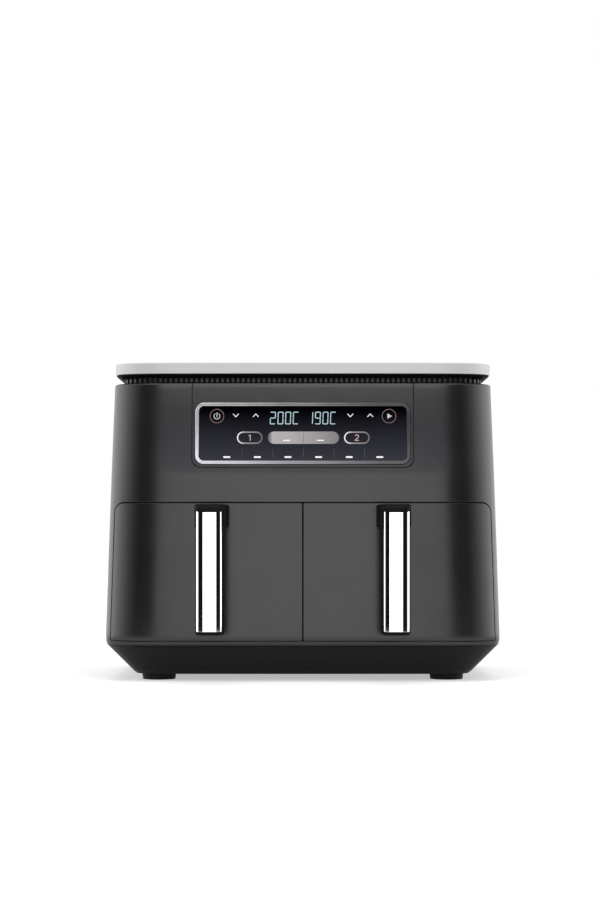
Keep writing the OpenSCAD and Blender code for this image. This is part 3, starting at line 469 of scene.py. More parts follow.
def loop_normals(loop):
    """Unit normals of a counter-clockwise outline, pointing outwards."""
    t = np.roll(loop, -1, axis=0) - np.roll(loop, 1, axis=0)
    return unit(np.stack([t[:, 1], -t[:, 0]], axis=1))


def inside(pts, loop):
    """Which points lie inside a closed outline."""
    x, y = pts[:, 0], pts[:, 1]
    hit = np.zeros(len(pts), bool)
    for (x0, y0), (x1, y1) in zip(loop, np.roll(loop, -1, axis=0)):
        if y0 != y1:
            hit ^= ((y0 > y) != (y1 > y)) & (x < (x1 - x0) * (y - y0) / (y1 - y0) + x0)
    return hit


print("a rounded square has", len(box_outline(0, 10, 0, 10, 2)), "points")

# %% [markdown]
# ## Filling an outline
# The skin between the outlines could be cut from a solid block with booleans, but their long thin
# triangles spoil a satin reflection. Here the flat outline is filled with triangles over a grid of
# points, the holes stay open, and only then is the flat sheet laid on the surface.

# %% Filling
EDGE_CLEAR, EDGE_SHARE = 0.5, 0.35
SAME_POINT = 1e-5


def fill(outer, holes, us=(), ws=()):
    """Triangles that fill an outline and leave its holes open. us and ws are the lines of the
    grid of points inside."""
    loops = [outer, *holes]
    edge = np.concatenate(loops)

    def in_skin(pts):
        keep = inside(pts, outer)
        for h in holes:
            keep &= ~inside(pts, h)
        return keep

    grid = np.array([(u, w) for u in us for w in ws]).reshape(-1, 2)
    grid = grid[in_skin(grid)]
    if len(grid):
        gap = min(np.min(np.diff(sorted(us))), np.min(np.diff(sorted(ws))))
        near = np.array([np.abs(edge - g).sum(axis=1).min() for g in grid])
        grid = grid[near > max(EDGE_CLEAR, EDGE_SHARE * gap)]
    pts = np.concatenate([edge, grid])
    edges, start = [], 0
    for loop in loops:
        n = len(loop)
        edges += [(start + i, start + (i + 1) % n) for i in range(n)]
        start += n
    verts, _, faces, _, _, _ = delaunay_2d_cdt([Vector(p) for p in pts], edges, [], 0, SAME_POINT)
    if len(verts) != len(pts):
        raise ValueError(f"an outline touches itself: {len(pts)} points became {len(verts)}")
    verts = np.array([tuple(v) for v in verts])
    faces = np.array([f for f in faces if len(f) == 3])
    skin = faces[in_skin(verts[faces].mean(axis=1))]
    return verts, [tuple(int(i) for i in f) for f in skin]


print("a filled square has", len(fill(box_outline(0, 10, 0, 10, 2), [])[1]), "triangles")

# %% [markdown]
# ## Making a mesh
# A moulding is gathered as points, normals and faces. Blender could work the normals out from the
# faces, but over uneven triangles they waver. So a skin carries the normals of the real surface,
# and its reflections run smoothly however the triangles lie. A form swept through rings keeps
# Blender's smooth normals with sharp edges above an angle.

# %% Mouldings
class Moulding:
    def __init__(self):
        self.v, self.n, self.f = [], [], []

    def add(self, pts, normals=None):
        """Add points and say where they start."""
        start = len(self.v)
        self.v += [tuple(p) for p in pts]
        self.n += [tuple(n) for n in (np.zeros((len(pts), 3)) if normals is None else normals)]
        return start

    def faces(self, faces, start=0, flip=False):
        for f in faces:
            f = [i + start for i in f]
            self.f.append(tuple(reversed(f)) if flip else tuple(f))

    def sweep(self, rings, normals=None, closed=True, flip=False):
        """Rings with the same number of points, joined one to the next; says where each starts."""
        starts = [self.add(r, n) for r, n in zip(rings, normals or [None] * len(rings))]
        n = len(rings[0])
        for a, b in zip(starts, starts[1:]):
            for i in range(n if closed else n - 1):
                j = (i + 1) % n
                self.faces([(a + i, a + j, b + j, b + i)], flip=flip)
        return starts

    def shift(self, dx):
        self.v = [(x + dx, y, z) for x, y, z in self.v]

    def mirror(self):
        self.v = [(-x, y, z) for x, y, z in self.v]
        self.n = [(-x, y, z) for x, y, z in self.n]
        self.f = [tuple(reversed(f)) for f in self.f]

    def make(self, name, body, slot, material, replaces=None, sharp=None):
        """The finished piece. sharp is the angle above which an edge of a swept form is sharp; a
        skin has none and keeps its own normals."""
        mesh = bpy.data.meshes.new(name)
        mesh.from_pydata([(x * MM, y * MM, z * MM) for x, y, z in self.v], [], self.f)
        mesh.validate()
        for poly in mesh.polygons:
            poly.use_smooth = True
        if sharp:
            mesh.set_sharp_from_angle(angle=math.radians(sharp))
        else:
            mesh.normals_split_custom_set_from_vertices([tuple(n) for n in self.n])
        mesh.materials.append(material)
        obj = bpy.data.objects.new(name, mesh)
        scene.collection.objects.link(obj)
        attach(obj, body)
        if replaces:
            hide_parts(replaces)
        print(name, len(self.f), "faces")


print("an empty moulding has", len(Moulding().v), "points")

# %% [markdown]
# ## Rounded edges
# No moulded edge is sharp: a thin bright line runs along each seam where its small radius catches
# the light. A bevel modifier would need clean edge loops, which a filled skin lacks. So each edge
# is a few rings, drawn in from the outline and sunk below the surface along a quarter round.

# %% Edges and panels
EDGE_STEPS = 4
OUT_REACH = 0.2
ROW_APART = 0.3


def outwards(uw, out, pts, normals):
    """Unit directions that lie in the surface and point out of an outline."""
    side = surface(uw + out * OUT_REACH)[0] - pts
    return unit(side - (side * normals).sum(axis=1)[:, None] * normals)


def rim(piece, loop, r, depth, hole=False):
    """A rounded edge of radius r round a panel or a hole, then a wall down to depth."""
    out = loop_normals(loop) * (-1 if hole else 1)
    rings, normals = [], []
    for k in range(EDGE_STEPS + 2):
        t = math.pi / 2 * min(k, EDGE_STEPS) / EDGE_STEPS
        uw = loop - out * r * (1 - math.sin(t))
        pts, nrm = surface(uw)
        down = r * (1 - math.cos(t)) if k <= EDGE_STEPS else depth
        rings.append(pts - nrm * down)
        normals.append(nrm * math.cos(t) + outwards(uw, out, pts, nrm) * math.sin(t))
    piece.sweep(rings, normals, flip=not hole)


def panel(loop, spacing, r, depth, holes=(), rows=()):
    """A moulded panel: an outline on the shared surface with rounded edges. loop and holes are in
    x and height; rows are heights that the grid has to have."""
    loop = laid(dense(loop))
    holes = [laid(dense(h)) for h in holes]
    us = np.arange(loop[:, 0].min(), loop[:, 0].max(), spacing) + spacing / 2
    ws = list(rows)
    for w in np.arange(loop[:, 1].min(), loop[:, 1].max(), spacing) + spacing / 2:
        if all(abs(w - v) > ROW_APART * spacing for v in rows):
            ws.append(w)
    uw, tris = fill(loop - loop_normals(loop) * r, [h + loop_normals(h) * r for h in holes],
                    us, sorted(ws))
    piece = Moulding()
    piece.faces(tris, piece.add(*surface(uw)))
    rim(piece, loop, r, depth)
    for h in holes:
        rim(piece, h, r, depth, hole=True)
    return piece


print("edges have", EDGE_STEPS, "steps")

# %% [markdown]
# ## Finishes
# A real moulding is never one flat colour: its tone drifts a little, its gloss changes over a
# hand's width, and a fine spark grain breaks up the reflection. A picture could carry that, but it
# would blur close up, so each finish is made of noise at three scales. Two pieces ask for more.
# The neck's grooves have to stay dark between its ribs, so its finish turns matt where walls are
# close. The bezel's silver carries a painted reflection: its tone is graded along the width,
# light at the left and dark at the right.

# %% Noise, tone and gradients
def noise(nt, scale, detail, stretch=None):
    """Smooth noise over the object; stretch makes it finer along an axis."""
    coord = nt.nodes.new("ShaderNodeTexCoord").outputs["Object"]
    if stretch:
        mapping = nt.nodes.new("ShaderNodeMapping")
        mapping.inputs["Scale"].default_value = stretch
        nt.links.new(coord, mapping.inputs["Vector"])
        coord = mapping.outputs[0]
    grain = nt.nodes.new("ShaderNodeTexNoise")
    grain.inputs["Scale"].default_value = scale
    grain.inputs["Detail"].default_value = detail
    nt.links.new(coord, grain.inputs["Vector"])
    return grain.outputs["Fac"]


def spread(nt, value, low, high, start=0.3, end=0.7):
    """The value's stretch from start to end, spread out from low to high."""
    node = nt.nodes.new("ShaderNodeMapRange")
    for socket, number in (("From Min", start), ("From Max", end), ("To Min", low), ("To Max", high)):
        node.inputs[socket].default_value = number
    nt.links.new(value, node.inputs["Value"])
    return node.outputs[0]


def graded(nt, stops):
    """A share that changes along X; stops are (x in metres, share)."""
    first, last = stops[0][0], stops[-1][0]
    place = spread(nt, split_position(nt)["X"], 0.0, 1.0, first, last)
    return ramp(nt, place, [((x - first) / (last - first), [share] * 3) for x, share in stops])


print("noise, spread and gradient nodes are ready")

# %% One finish
GRAIN_DEPTH = 0.0002
OPEN_LOW, OPEN_HIGH = 0.62, 0.98


def finish(name, color, rough, metal=0.0, specular=0.5, tone=0.04, gloss=0.02, grain=0.03,
           tone_scale=14, stretch=None, grooves=0.0, along=None):
    """A procedural finish: tone and gloss vary a little, and a fine grain bumps the surface.
    grooves is how far off, in metres, walls have to be for a place to keep its gloss; along
    holds the stops of a tone that is graded across the width."""
    mat, nt, shader = node_material(name)
    shader.inputs["Metallic"].default_value = metal
    shader.inputs["Specular IOR Level"].default_value = specular
    mix = nt.nodes.new("ShaderNodeMix")
    mix.data_type = "RGBA"
    mix.inputs["A"].default_value = (*[c * (1 - tone) for c in color], 1)
    mix.inputs["B"].default_value = (*[min(1, c * (1 + tone)) for c in color], 1)
    nt.links.new(spread(nt, noise(nt, tone_scale, 4, stretch), 0, 1), mix.inputs["Factor"])
    shade = mix.outputs["Result"]
    # along paints a reflection into the tone: the colour is multiplied down from one end of the width to
    # the other.
    if along:
        reflection_paint = nt.nodes.new("ShaderNodeMix")
        reflection_paint.data_type = "RGBA"
        reflection_paint.blend_type = "MULTIPLY"
        reflection_paint.inputs["Factor"].default_value = 1.0
        nt.links.new(shade, reflection_paint.inputs["A"])
        nt.links.new(graded(nt, along), reflection_paint.inputs["B"])
        shade = reflection_paint.outputs["Result"]
    nt.links.new(shade, shader.inputs["Base Color"])
    if grooves:
        open_air = nt.nodes.new("ShaderNodeAmbientOcclusion")
        open_air.inputs["Distance"].default_value = grooves
        open_air.samples = 8
        sheen = spread(nt, open_air.outputs["AO"], 1.0, rough, OPEN_LOW, OPEN_HIGH)
    else:
        sheen = noise(nt, tone_scale * 2.3, 4, stretch)
        sheen = spread(nt, sheen, rough - gloss, rough + gloss)
    nt.links.new(sheen, shader.inputs["Roughness"])
    bump = nt.nodes.new("ShaderNodeBump")
    bump.inputs["Strength"].default_value = grain
    bump.inputs["Distance"].default_value = GRAIN_DEPTH
    nt.links.new(noise(nt, 2500, 2, stretch), bump.inputs["Height"])
    nt.links.new(bump.outputs[0], shader.inputs["Normal"])
    return mat


print("grain", GRAIN_DEPTH / MM, "mm deep at full strength")

# %% All finishes
SATIN_GREY = (0.0115, 0.0115, 0.0118)
# The bezel's painted reflection: its silver tone goes from full at the left end down to about a tenth at
# the right.
BEZEL_PAINTED_REFLECTION = [(-0.108, 1.0), (-0.104, 0.9), (-0.100, 0.63), (-0.062, 0.50), (-0.038, 0.38),
              (-0.015, 0.30), (0.008, 0.26), (0.032, 0.20), (0.055, 0.155), (0.079, 0.12),
              (0.102, 0.105), (0.108, 0.11)]
LOOKS = {
    "housing": dict(color=SATIN_GREY, rough=0.19),
    "drawer": dict(color=SATIN_GREY, rough=0.19),
    "base": dict(color=(0.0082, 0.0082, 0.0082), rough=0.4, specular=0.1, grain=0.06),
    "neck": dict(color=(0.004, 0.004, 0.004), rough=0.3, specular=0.55, grooves=0.003),
    "tray": dict(color=(0.004, 0.004, 0.004), rough=0.6, specular=0.05),
    "lid": dict(color=(0.62, 0.62, 0.617), rough=0.22, tone=0.01),
    "inner_plastic": dict(color=(0.03, 0.03, 0.03), rough=0.5),
    "handle": dict(color=(0.005, 0.005, 0.005), rough=0.42, specular=0.06),
    "chrome": dict(color=(0.86, 0.86, 0.87), rough=0.03, metal=1.0, tone=0.01, gloss=0.008, grain=0.0),
    # The bezel's tone carries a painted reflection, graded along its width.
    "bezel": dict(color=(0.86, 0.86, 0.86), rough=0.14, metal=1.0, tone=0.02, grain=0.01,
                  along=BEZEL_PAINTED_REFLECTION),
    "glass": dict(color=(0.0004, 0.0006, 0.0014), rough=0.035, tone=0.1, gloss=0.01, grain=0.0),
    "board": dict(color=(0.01, 0.09, 0.03), rough=0.45, tone=0.15, tone_scale=180),
    "steel": dict(color=(0.5, 0.5, 0.5), rough=0.35, metal=1.0),
    "chamber_steel": dict(color=(0.42, 0.42, 0.42), rough=0.38, metal=1.0, stretch=(1, 1, 30)),
    "wire": dict(color=(0.6, 0.6, 0.6), rough=0.28, metal=1.0),
    "coil": dict(color=(0.09, 0.075, 0.065), rough=0.45, metal=0.6, tone=0.2, tone_scale=60),
    "motor": dict(color=(0.35, 0.35, 0.35), rough=0.4, metal=1.0),
    "fan": dict(color=(0.55, 0.55, 0.55), rough=0.33, metal=1.0),
    "nonstick": dict(color=(0.022, 0.022, 0.024), rough=0.42, tone=0.2, tone_scale=300, grain=0.15),
    "rubber": dict(color=(0.004, 0.004, 0.004), rough=0.6, specular=0.15, grain=0.15),
    "bumper": dict(color=(0.02, 0.02, 0.02), rough=0.7, grain=0.1),
}
FINISH = {name: finish(name, **look) for name, look in LOOKS.items()}
finish_of = {part["node"]: part["material_slot"] for part in frame["record"]["subparts"]}
finish_of["lid_tray"] = "tray"
for node, obj in NODES.items():
    for holder in obj.material_slots:
        holder.material = FINISH[finish_of[node]]
    if not obj.material_slots:
        obj.data.materials.append(FINISH[finish_of[node]])
print("finishes", len(FINISH))

# %% [markdown]
# ## Housing
# One moulded shell with the mouth for the drawers, the notch for the facia, which runs over the
# shoulder onto the deck, and the window that the back panel closes. It could be a thick solid with
# the openings cut through. Its inner faces stay hidden behind the panels, though, so only the
# outer skin and the walls of its openings are made. The skin's two ends meet on the left side,
# away from every opening.

# %% Openings in the housing
SEAM, SIDE_SEAM, FACIA_SEAM = 1.1, 0.6, 0.45
EDGE_R = 0.4
DOOR_IN, DOOR_R, TIGHT_R = 6.3, 9.0, 1.5
lo, hi = box_mm("right_drawer_front")
DOOR_Z0, DOOR_Z1 = lo[2], hi[2]
MOUTH_Z0, MOUTH_Z1 = DOOR_Z0 - SIDE_SEAM, DOOR_Z1 + SEAM
lo, hi = box_mm("control_facia")
FACIA_HALF, FACIA_Z = hi[0], lo[2]
FACIA_R = 9.0
DECK_EDGE = ROUND_END - SHOULDER_R
FACIA_TOP, DECK_END = DECK_EDGE + 7.8, DECK_EDGE + 14.8
lo, hi = box_mm("back_panel")
PANEL_LAP, WINDOW_R = 6, 10
WINDOW_HALF, WINDOW_Z0, WINDOW_Z1 = hi[0] - PANEL_LAP, lo[2] + PANEL_LAP, hi[2] - PANEL_LAP


def door_edge(z):
    return half_width(z) - DOOR_IN


mouth_low, mouth_high = door_edge(DOOR_Z0) + SIDE_SEAM, door_edge(DOOR_Z1) + SIDE_SEAM
mouth = rounded([(-mouth_low, MOUTH_Z0), (mouth_low, MOUTH_Z0),
                 (mouth_high, MOUTH_Z1), (-mouth_high, MOUTH_Z1)],
                [TIGHT_R, TIGHT_R, DOOR_R + SEAM, DOOR_R + SEAM])
notch = box_outline(-FACIA_HALF - FACIA_SEAM, FACIA_HALF + FACIA_SEAM, FACIA_Z - FACIA_SEAM,
                    FACIA_TOP + FACIA_SEAM, FACIA_R)
window = box_outline(-WINDOW_HALF, WINDOW_HALF, WINDOW_Z0, WINDOW_Z1, WINDOW_R)
print("mouth", round(2 * mouth_low, 1), "mm wide at the bottom")

# %% Housing shell
SKIN_START = -300.0
SKIN_COLUMNS = 330
SKIN_ROWS = np.arange(40, 288, 6.0)
MIN_APART = 0.05
LIP_T, DECK_T = 8, 3
OPENING_DEPTH = 3.0, 3.0, 2.0


def housing_rows():
    """Heights of the skin's grid: closer at the lip, at the crease and round the shoulder."""
    ws = [BASE_TOP + k for k in (0, 0.4, 1, 2, 3)] + list(SKIN_ROWS)
    ws += [CREASE + k for k in (-3, -1.5, 0, 1.5, 3)] + SHOULDER_ROWS
    ws = sorted(set(ws + [ROUND_END + k for k in (1, 4, 7)] + [DECK_END]))
    return [w for w, past in zip(ws, [-1] + ws) if w - past > MIN_APART]


def housing():
    holes = [laid(dense(mouth)), laid(dense(notch)), dense(window, 4) + [FULL, 0]]
    ws = housing_rows()
    us = np.arange(SKIN_START, 2 * FULL + SKIN_START + 0.01, 2 * FULL / SKIN_COLUMNS)
    border = np.array([(u, ws[0]) for u in us] + [(us[-1], w) for w in ws[1:]]
                      + [(u, ws[-1]) for u in us[-2::-1]] + [(us[0], w) for w in ws[-2:0:-1]])
    uw, tris = fill(border, [h + loop_normals(h) * EDGE_R for h in holes], us[1:-1], ws[1:-1])
    piece = Moulding()
    piece.faces(tris, piece.add(*surface(uw)))
    for h, depth in zip(holes, OPENING_DEPTH):
        rim(piece, h, EDGE_R, depth, hole=True)
    # the lip's underside, and the edge of the deck under the neck
    for w, lip in ((ws[0], True), (ws[-1], False)):
        edge, _ = surface(np.array([(u, w) for u in us]))
        t = np.gradient(edge, axis=0)
        out = unit(np.column_stack([t[:, 1], -t[:, 0], np.zeros(len(t))]))
        normals = np.tile([0, 0, -1.0], (len(edge), 1)) if lip else -out
        end = edge - out * LIP_T if lip else edge - [0, 0, DECK_T]
        piece.sweep([edge, end], [normals, normals], closed=False, flip=lip)
    return piece


housing().make("housing_shell", "cabinet", "housing", FINISH["housing"], "outer_housing")

# %% [markdown]
# ## Drawer fronts
# Each front wraps round its front corner and lies flush with the housing. It could be a box bent
# to fit, but its edges would never quite follow the mouth. It is cut from the same surface as the
# housing with the same rounded edge, so the seam stays even all round. The left one is the right
# one mirrored. Behind the face, a rim runs straight back to the door liner.

# %% Drawer fronts
PANEL_SPACING = 4.0
DOOR_EDGE_DEPTH, BACK_START, LINER_LAP = 2.4, 2.2, 2.4


def flat_sides(loop):
    """Normals of a wall that runs straight back from an outline."""
    out = loop_normals(loop)
    return np.column_stack([out[:, 0], np.zeros(len(out)), out[:, 1]])


def drawer_face():
    loop = rounded([(SEAM / 2, DOOR_Z0), (door_edge(DOOR_Z0), DOOR_Z0),
                    (door_edge(DOOR_Z1), DOOR_Z1), (SEAM / 2, DOOR_Z1)],
                   [TIGHT_R, TIGHT_R, DOOR_R, TIGHT_R])
    piece = panel(loop, PANEL_SPACING, EDGE_R, DOOR_EDGE_DEPTH)
    edge = laid(dense(loop))
    pts, nrm = surface(edge)
    back = pts.copy()
    back[:, 1] = box_mm("right_door_liner")[0][1] + LINER_LAP
    sides = flat_sides(edge)
    piece.sweep([pts - nrm * BACK_START, back], [sides, sides], flip=True)
    return piece


for side in ("right", "left"):
    face = drawer_face()
    if side == "left":
        face.mirror()
    face.make(f"{side}_drawer_face", f"{side}_drawer", "drawer", FINISH["drawer"],
              f"{side}_drawer_front")

# %% [markdown]
# ## Facia, bezel and glass
# The facia fills the notch and carries the silver bezel, which frames the dark touch glass. The
# facia and the glass are panels like the drawer fronts. The bezel could be a curve with a round
# bevel, but its crown on the real one is flat, and a flat crown mirrors one even tone. So it is a
# cross-section of a few points, swept round the outline on the surface.

# %% Facia, bezel and glass
lo, hi = box_mm("bezel")
BEZEL_HALF, BEZEL_Z0, BEZEL_Z1 = hi[0], lo[2], hi[2]
BEZEL_R, BEZEL_RIM, FIT = 8.5, 3.4, 0.3
CROWN, BEZEL_ROOT = 0.45, -2.2
FACIA_DEPTH = 3.0
GLASS_SPACING, GLASS_EDGE_R, GLASS_DEPTH = 5.0, 0.25, 1.8


def bezel_loop(grow):
    """The bezel's outline, or one that is bigger all round."""
    return box_outline(-BEZEL_HALF - grow, BEZEL_HALF + grow, BEZEL_Z0 - grow, BEZEL_Z1 + grow,
                       BEZEL_R + grow)


facia_loop = rounded([(-FACIA_HALF, FACIA_Z), (FACIA_HALF, FACIA_Z),
                      (FACIA_HALF, FACIA_TOP), (-FACIA_HALF, FACIA_TOP)],
                     [FACIA_R, FACIA_R, 1.0, 1.0])
facia = panel(facia_loop, PANEL_SPACING, EDGE_R, FACIA_DEPTH, [bezel_loop(FIT)], SHOULDER_ROWS)
facia.make("facia_panel", "cabinet", "housing", FINISH["housing"], "control_facia")


def bezel():
    """A ring of silver with a flat crown, swept round the bezel's outline."""
    loop = laid(dense(bezel_loop(0)))
    out = loop_normals(loop)
    # distance in from the outer edge, height above the face, tilt of the normal
    outer = [(0.0, BEZEL_ROOT, 90), (0.0, 0.0, 90), (0.1, 0.3, 60), (0.3, 0.42, 20), (0.5, CROWN, 0)]
    section = outer + [(BEZEL_RIM - d, up, -tilt) for d, up, tilt in reversed(outer)]
    rings, normals = [], []
    for d, up, tilt in section:
        uw = loop - out * d
        pts, nrm = surface(uw)
        t = math.radians(tilt)
        rings.append(pts + nrm * up)
        normals.append(nrm * math.cos(t) + outwards(uw, out, pts, nrm) * math.sin(t))
    piece = Moulding()
    piece.sweep(rings, normals)
    return piece


bezel().make("bezel_ring", "cabinet", "bezel", FINISH["bezel"], "bezel")
glass = panel(bezel_loop(-BEZEL_RIM - FIT / 2), GLASS_SPACING, GLASS_EDGE_R, GLASS_DEPTH)
glass.make("glass_panel", "cabinet", "glass", FINISH["glass"], "touch_glass")

# %% [markdown]
# ## Lid
# A pale plate with softly rounded edges over the dark tray and the ribbed neck. A bevelled slab
# would do, but its rounding would be uneven at the superellipse corners. It is built as a stack of
# plan outlines instead, each a little further in at the top and the bottom edge, and closed flat.

# %% Lid
LID_TOP_R, LID_LOW_R = 1.0, 0.6
POINTS_APART = 0.02
lo, hi = box_mm("lid_plate")
LID_Z0, LID_Z1 = lo[2], hi[2]
LID_IN = half_width(SHOULDER) - hi[0]


def round_edge(z, r, n, top=False):
    """Levels over the rounded edge of an end face at height z, from the lowest up: (height,
    inset)."""
    turns = np.linspace(0, math.pi / 2, n) if top else np.linspace(math.pi / 2, 0, n)
    way = -1 if top else 1
    return [(z + way * r * (1 - math.sin(t)), r * (1 - math.cos(t))) for t in turns]


def plan_ring(x, y, level):
    """The whole plan outline at a height, counter-clockwise, from its right half."""
    right = np.column_stack([x, y, np.full(len(x), level)])
    return np.concatenate([right, right[-2:0:-1] * [-1, 1, 1]])


def lid_ring(level, inset):
    x, y = outline(SHOULDER, LID_IN + inset)
    apart = np.concatenate([[True], np.hypot(np.diff(x), np.diff(y)) > POINTS_APART])
    return plan_ring(x[apart], y[apart], level)


def stack(rings):
    """A closed body from rings of points, from the lowest up."""
    piece = Moulding()
    starts = piece.sweep(rings)
    n = len(rings[0])
    piece.faces([range(starts[0], starts[0] + n)], flip=True)
    piece.faces([range(starts[-1], starts[-1] + n)])
    return piece


levels = round_edge(LID_Z0, LID_LOW_R, 6) + round_edge(LID_Z1, LID_TOP_R, 9, top=True)
lid = stack([lid_ring(z, inset) for z, inset in levels])
lid.make("lid_cover", "cabinet", "lid", FINISH["lid"], "lid_plate", sharp=60)

# %% [markdown]
# ## Base
# The dark pan under the housing tapers in at about 45 degrees to a small rounded lower edge.
# A scaled copy of the outline would pull the front and the sides in by different amounts, so each
# level is the outline drawn in by the same distance. The underside is a filled sheet, which leaves
# the air slots below each cooking chamber open.

# %% Base
CORNER_LOSS = 0.45
FOOT_H = box_mm("front_left_foot")[1][2]
BASE_IN = 29.0
BASE_EDGE_R = 1.0
BASE_LIP = BASE_TOP - 0.3
LIP_EDGE, LIP_CLOSE = 0.25, 0.8
BASE_GRID = np.arange(-180, 181, 12.0)
SLOT_N, SLOT_HALF, SLOT_T, SLOT_PITCH, SLOT_DEPTH, SLOT_R = 6, 21, 3, 11, 3, 1.4


def base_inset(z):
    """How far the base is drawn in at height z."""
    return LIP_IN + (BASE_IN - LIP_IN) * (BASE_TOP - z) / (BASE_TOP - FOOT_H)


def base_ring(level, inset):
    """The plan outline at a level of the base. Its corners lose less of their size than the
    sides come in."""
    return plan_ring(*outline(WIDEST, inset, CORNER_LOSS * inset), level)


def base_levels():
    """Height and inset from the lip down to the rounded lower edge."""
    levels = [(BASE_LIP, base_inset(BASE_LIP) + LIP_CLOSE), (BASE_LIP, base_inset(BASE_LIP) + LIP_EDGE),
              (BASE_LIP - LIP_EDGE, base_inset(BASE_LIP - LIP_EDGE))]
    levels += [(z, base_inset(z)) for z in np.linspace(BASE_LIP - 3, FOOT_H + 2, 9)]
    for t in np.linspace(0.25, math.pi / 2, 5):
        draw = base_inset(FOOT_H) - 0.1 + BASE_EDGE_R * (1 - math.cos(t)) * 0.8 + 0.3 * math.sin(t)
        levels.append((FOOT_H + BASE_EDGE_R * (1 - math.sin(t)), draw))
    return levels


def air_slots():
    """Rounded slots in plan, below each cooking chamber."""
    lo, hi = box_mm("right_chamber")
    mid_x, mid_y = (lo[0] + hi[0]) / 2, (lo[1] + hi[1]) / 2
    slots = []
    for side in (-1, 1):
        x0, x1 = side * mid_x - SLOT_HALF, side * mid_x + SLOT_HALF
        for k in range(SLOT_N):
            y = mid_y + SLOT_PITCH * k
            corners = [(x0, y), (x1, y), (x1, y + SLOT_T), (x0, y + SLOT_T)]
            slots.append(rounded(corners, [SLOT_R] * 4, 30))
    return slots


def flat_at(points, z):
    """Plan points, raised to height z."""
    return np.column_stack([points, np.full(len(points), z)])


def base():
    rings = [base_ring(z, inset) for z, inset in base_levels()]
    piece = Moulding()
    piece.sweep(rings, flip=True)
    slots = air_slots()
    sheet, tris = fill(rings[-1][:, :2], slots, BASE_GRID, BASE_GRID)
    piece.faces(tris, piece.add(flat_at(sheet, rings[-1][0, 2])), flip=True)
    for slot in slots:
        piece.sweep([flat_at(slot, FOOT_H), flat_at(slot, FOOT_H + SLOT_DEPTH)], flip=True)
    return piece


base().make("base_form", "cabinet", "base", FINISH["base"], "base_pan", sharp=50)

# %% [markdown]
# ## Grips
# Each handle is a grip that hangs from a stem, with a chrome cover round its front. A grip could be
# modelled from a box and smoothed, but the step that takes up the cover has to stay crisp. So it
# is lofted from level outlines: the front corners are round, and the back closes at the grip's
# back or, in the stem, runs to the drawer front and flares out there.

# %% Grip sizes and its outline
lo, hi = box_mm("right_handle")
GRIP_Z0, GRIP_Z1, GRIP_FRONT = lo[2], hi[2], lo[1]
lo, hi = box_mm("right_handle_cover")
COVER_Z0, COVER_Z1, COVER_FRONT, COVER_BACK = lo[2], hi[2], lo[1], hi[1]
HANDLE_X = (lo[0] + hi[0]) / 2
COVER_HALF = (hi[0] - lo[0]) / 2
COVER_TOP = COVER_Z1 - 1.1
COVER_T = 1.2
GRIP_HALF = COVER_HALF + 1.1
GRIP_BACK = COVER_BACK + 3
GRIP_CORNER, CORNER_DEPTH, CORNER_CURVE = 6.2, 0.9, 2.4
GRIP_END_R, GRIP_TOP_R = 2.5, 1.4
BACK_EDGE, ROOT_EDGE, ROOT_IN = 2.0, 0.4, 0.6
STEM_H, CURVE_R, TOP_R = 23.0, 30.0, 7.0
STEM_LOW = GRIP_Z1 - STEM_H - CURVE_R
FLARE, FLARE_FROM = 3.0, 8.0
TILT, TILT_REACH = 0.55, 5.0
HOLLOW, HOLLOW_SIDE = COVER_T - 0.15, 1.1
STEP_NEAR, STEP_FAR, STEP_T = 0.1, 0.12, 0.02
print("grip", round(2 * GRIP_HALF, 1), "mm wide, cover", round(2 * COVER_HALF, 1), "mm")


def tilted(pts, s, front):
    """The outline at level s, tilted near the cover's upper edge, which rises to the back."""
    levels = [COVER_TOP - 45, COVER_TOP - 3, COVER_TOP + 1, GRIP_Z1 - 1.6]
    tilt = TILT * float(np.interp(s, levels, [0, 1, 1, 0]))
    pts = pts.copy()
    pts[:, 2] += tilt * np.clip(pts[:, 1] - front, 0, TILT_REACH)
    return pts


def grip_front(s):
    """The grip's front at level s: upright, and rounded back at the top."""
    if s < GRIP_Z1 - TOP_R:
        return GRIP_FRONT
    return GRIP_FRONT + TOP_R - math.sqrt(max(0, TOP_R ** 2 - (s - GRIP_Z1 + TOP_R) ** 2))


def grip_back(s):
    """The grip's back at level s: upright, then curved back into the stem."""
    if s <= STEM_LOW:
        return GRIP_BACK
    if s >= STEM_LOW + CURVE_R:
        return math.inf
    return GRIP_BACK + CURVE_R - math.sqrt(max(0, CURVE_R ** 2 - (s - STEM_LOW) ** 2))


def grip_ring(s, e=0.0, hollow=0.0):
    """Outline of the grip at level s, e inside its surface; hollow is how far the front part is
    let in to carry the cover."""
    root = FRONT_Y + float(lean(s)) + BOW * (HANDLE_X / HALF_W) ** 2 + ROOT_IN
    back = min(grip_back(s), root) - (e if s < STEM_LOW else 0)
    half = GRIP_HALF - e
    front_half = half - (hollow + HOLLOW_SIDE if hollow else 0)
    front = grip_front(s) + e + hollow
    a, r = corner_curve(12, CORNER_CURVE)
    corner = np.column_stack([front_half - GRIP_CORNER + GRIP_CORNER * (r * np.sin(a)),
                              front + GRIP_CORNER * CORNER_DEPTH * (1 - r * np.cos(a))])
    step_y = COVER_BACK + STEP_NEAR if hollow else front + GRIP_CORNER * CORNER_DEPTH + 0.3
    pts = [*corner, (front_half, step_y), (half, step_y + STEP_T)]
    flare_y = GRIP_BACK + FLARE_FROM
    for t in np.linspace(0, 1, 14)[1:]:
        y = step_y + (back - BACK_EDGE - step_y) * t
        f = np.clip((y - flare_y) / (root - flare_y), 0, 1)
        pts.append((half + FLARE * f * f * (3 - 2 * f), y))
    end_x = pts[-1][0]
    end_r = BACK_EDGE if back < root - 0.5 else ROOT_EDGE
    for t in np.linspace(0, math.pi / 2, 6)[1:]:
        pts.append((end_x - end_r * (1 - math.cos(t)), back - BACK_EDGE + BACK_EDGE * math.sin(t)))
    right = np.array(pts)
    both = np.concatenate([right, (right * [-1, 1])[::-1]])
    return tilted(np.column_stack([both, np.full(len(both), s)]), s, GRIP_FRONT)


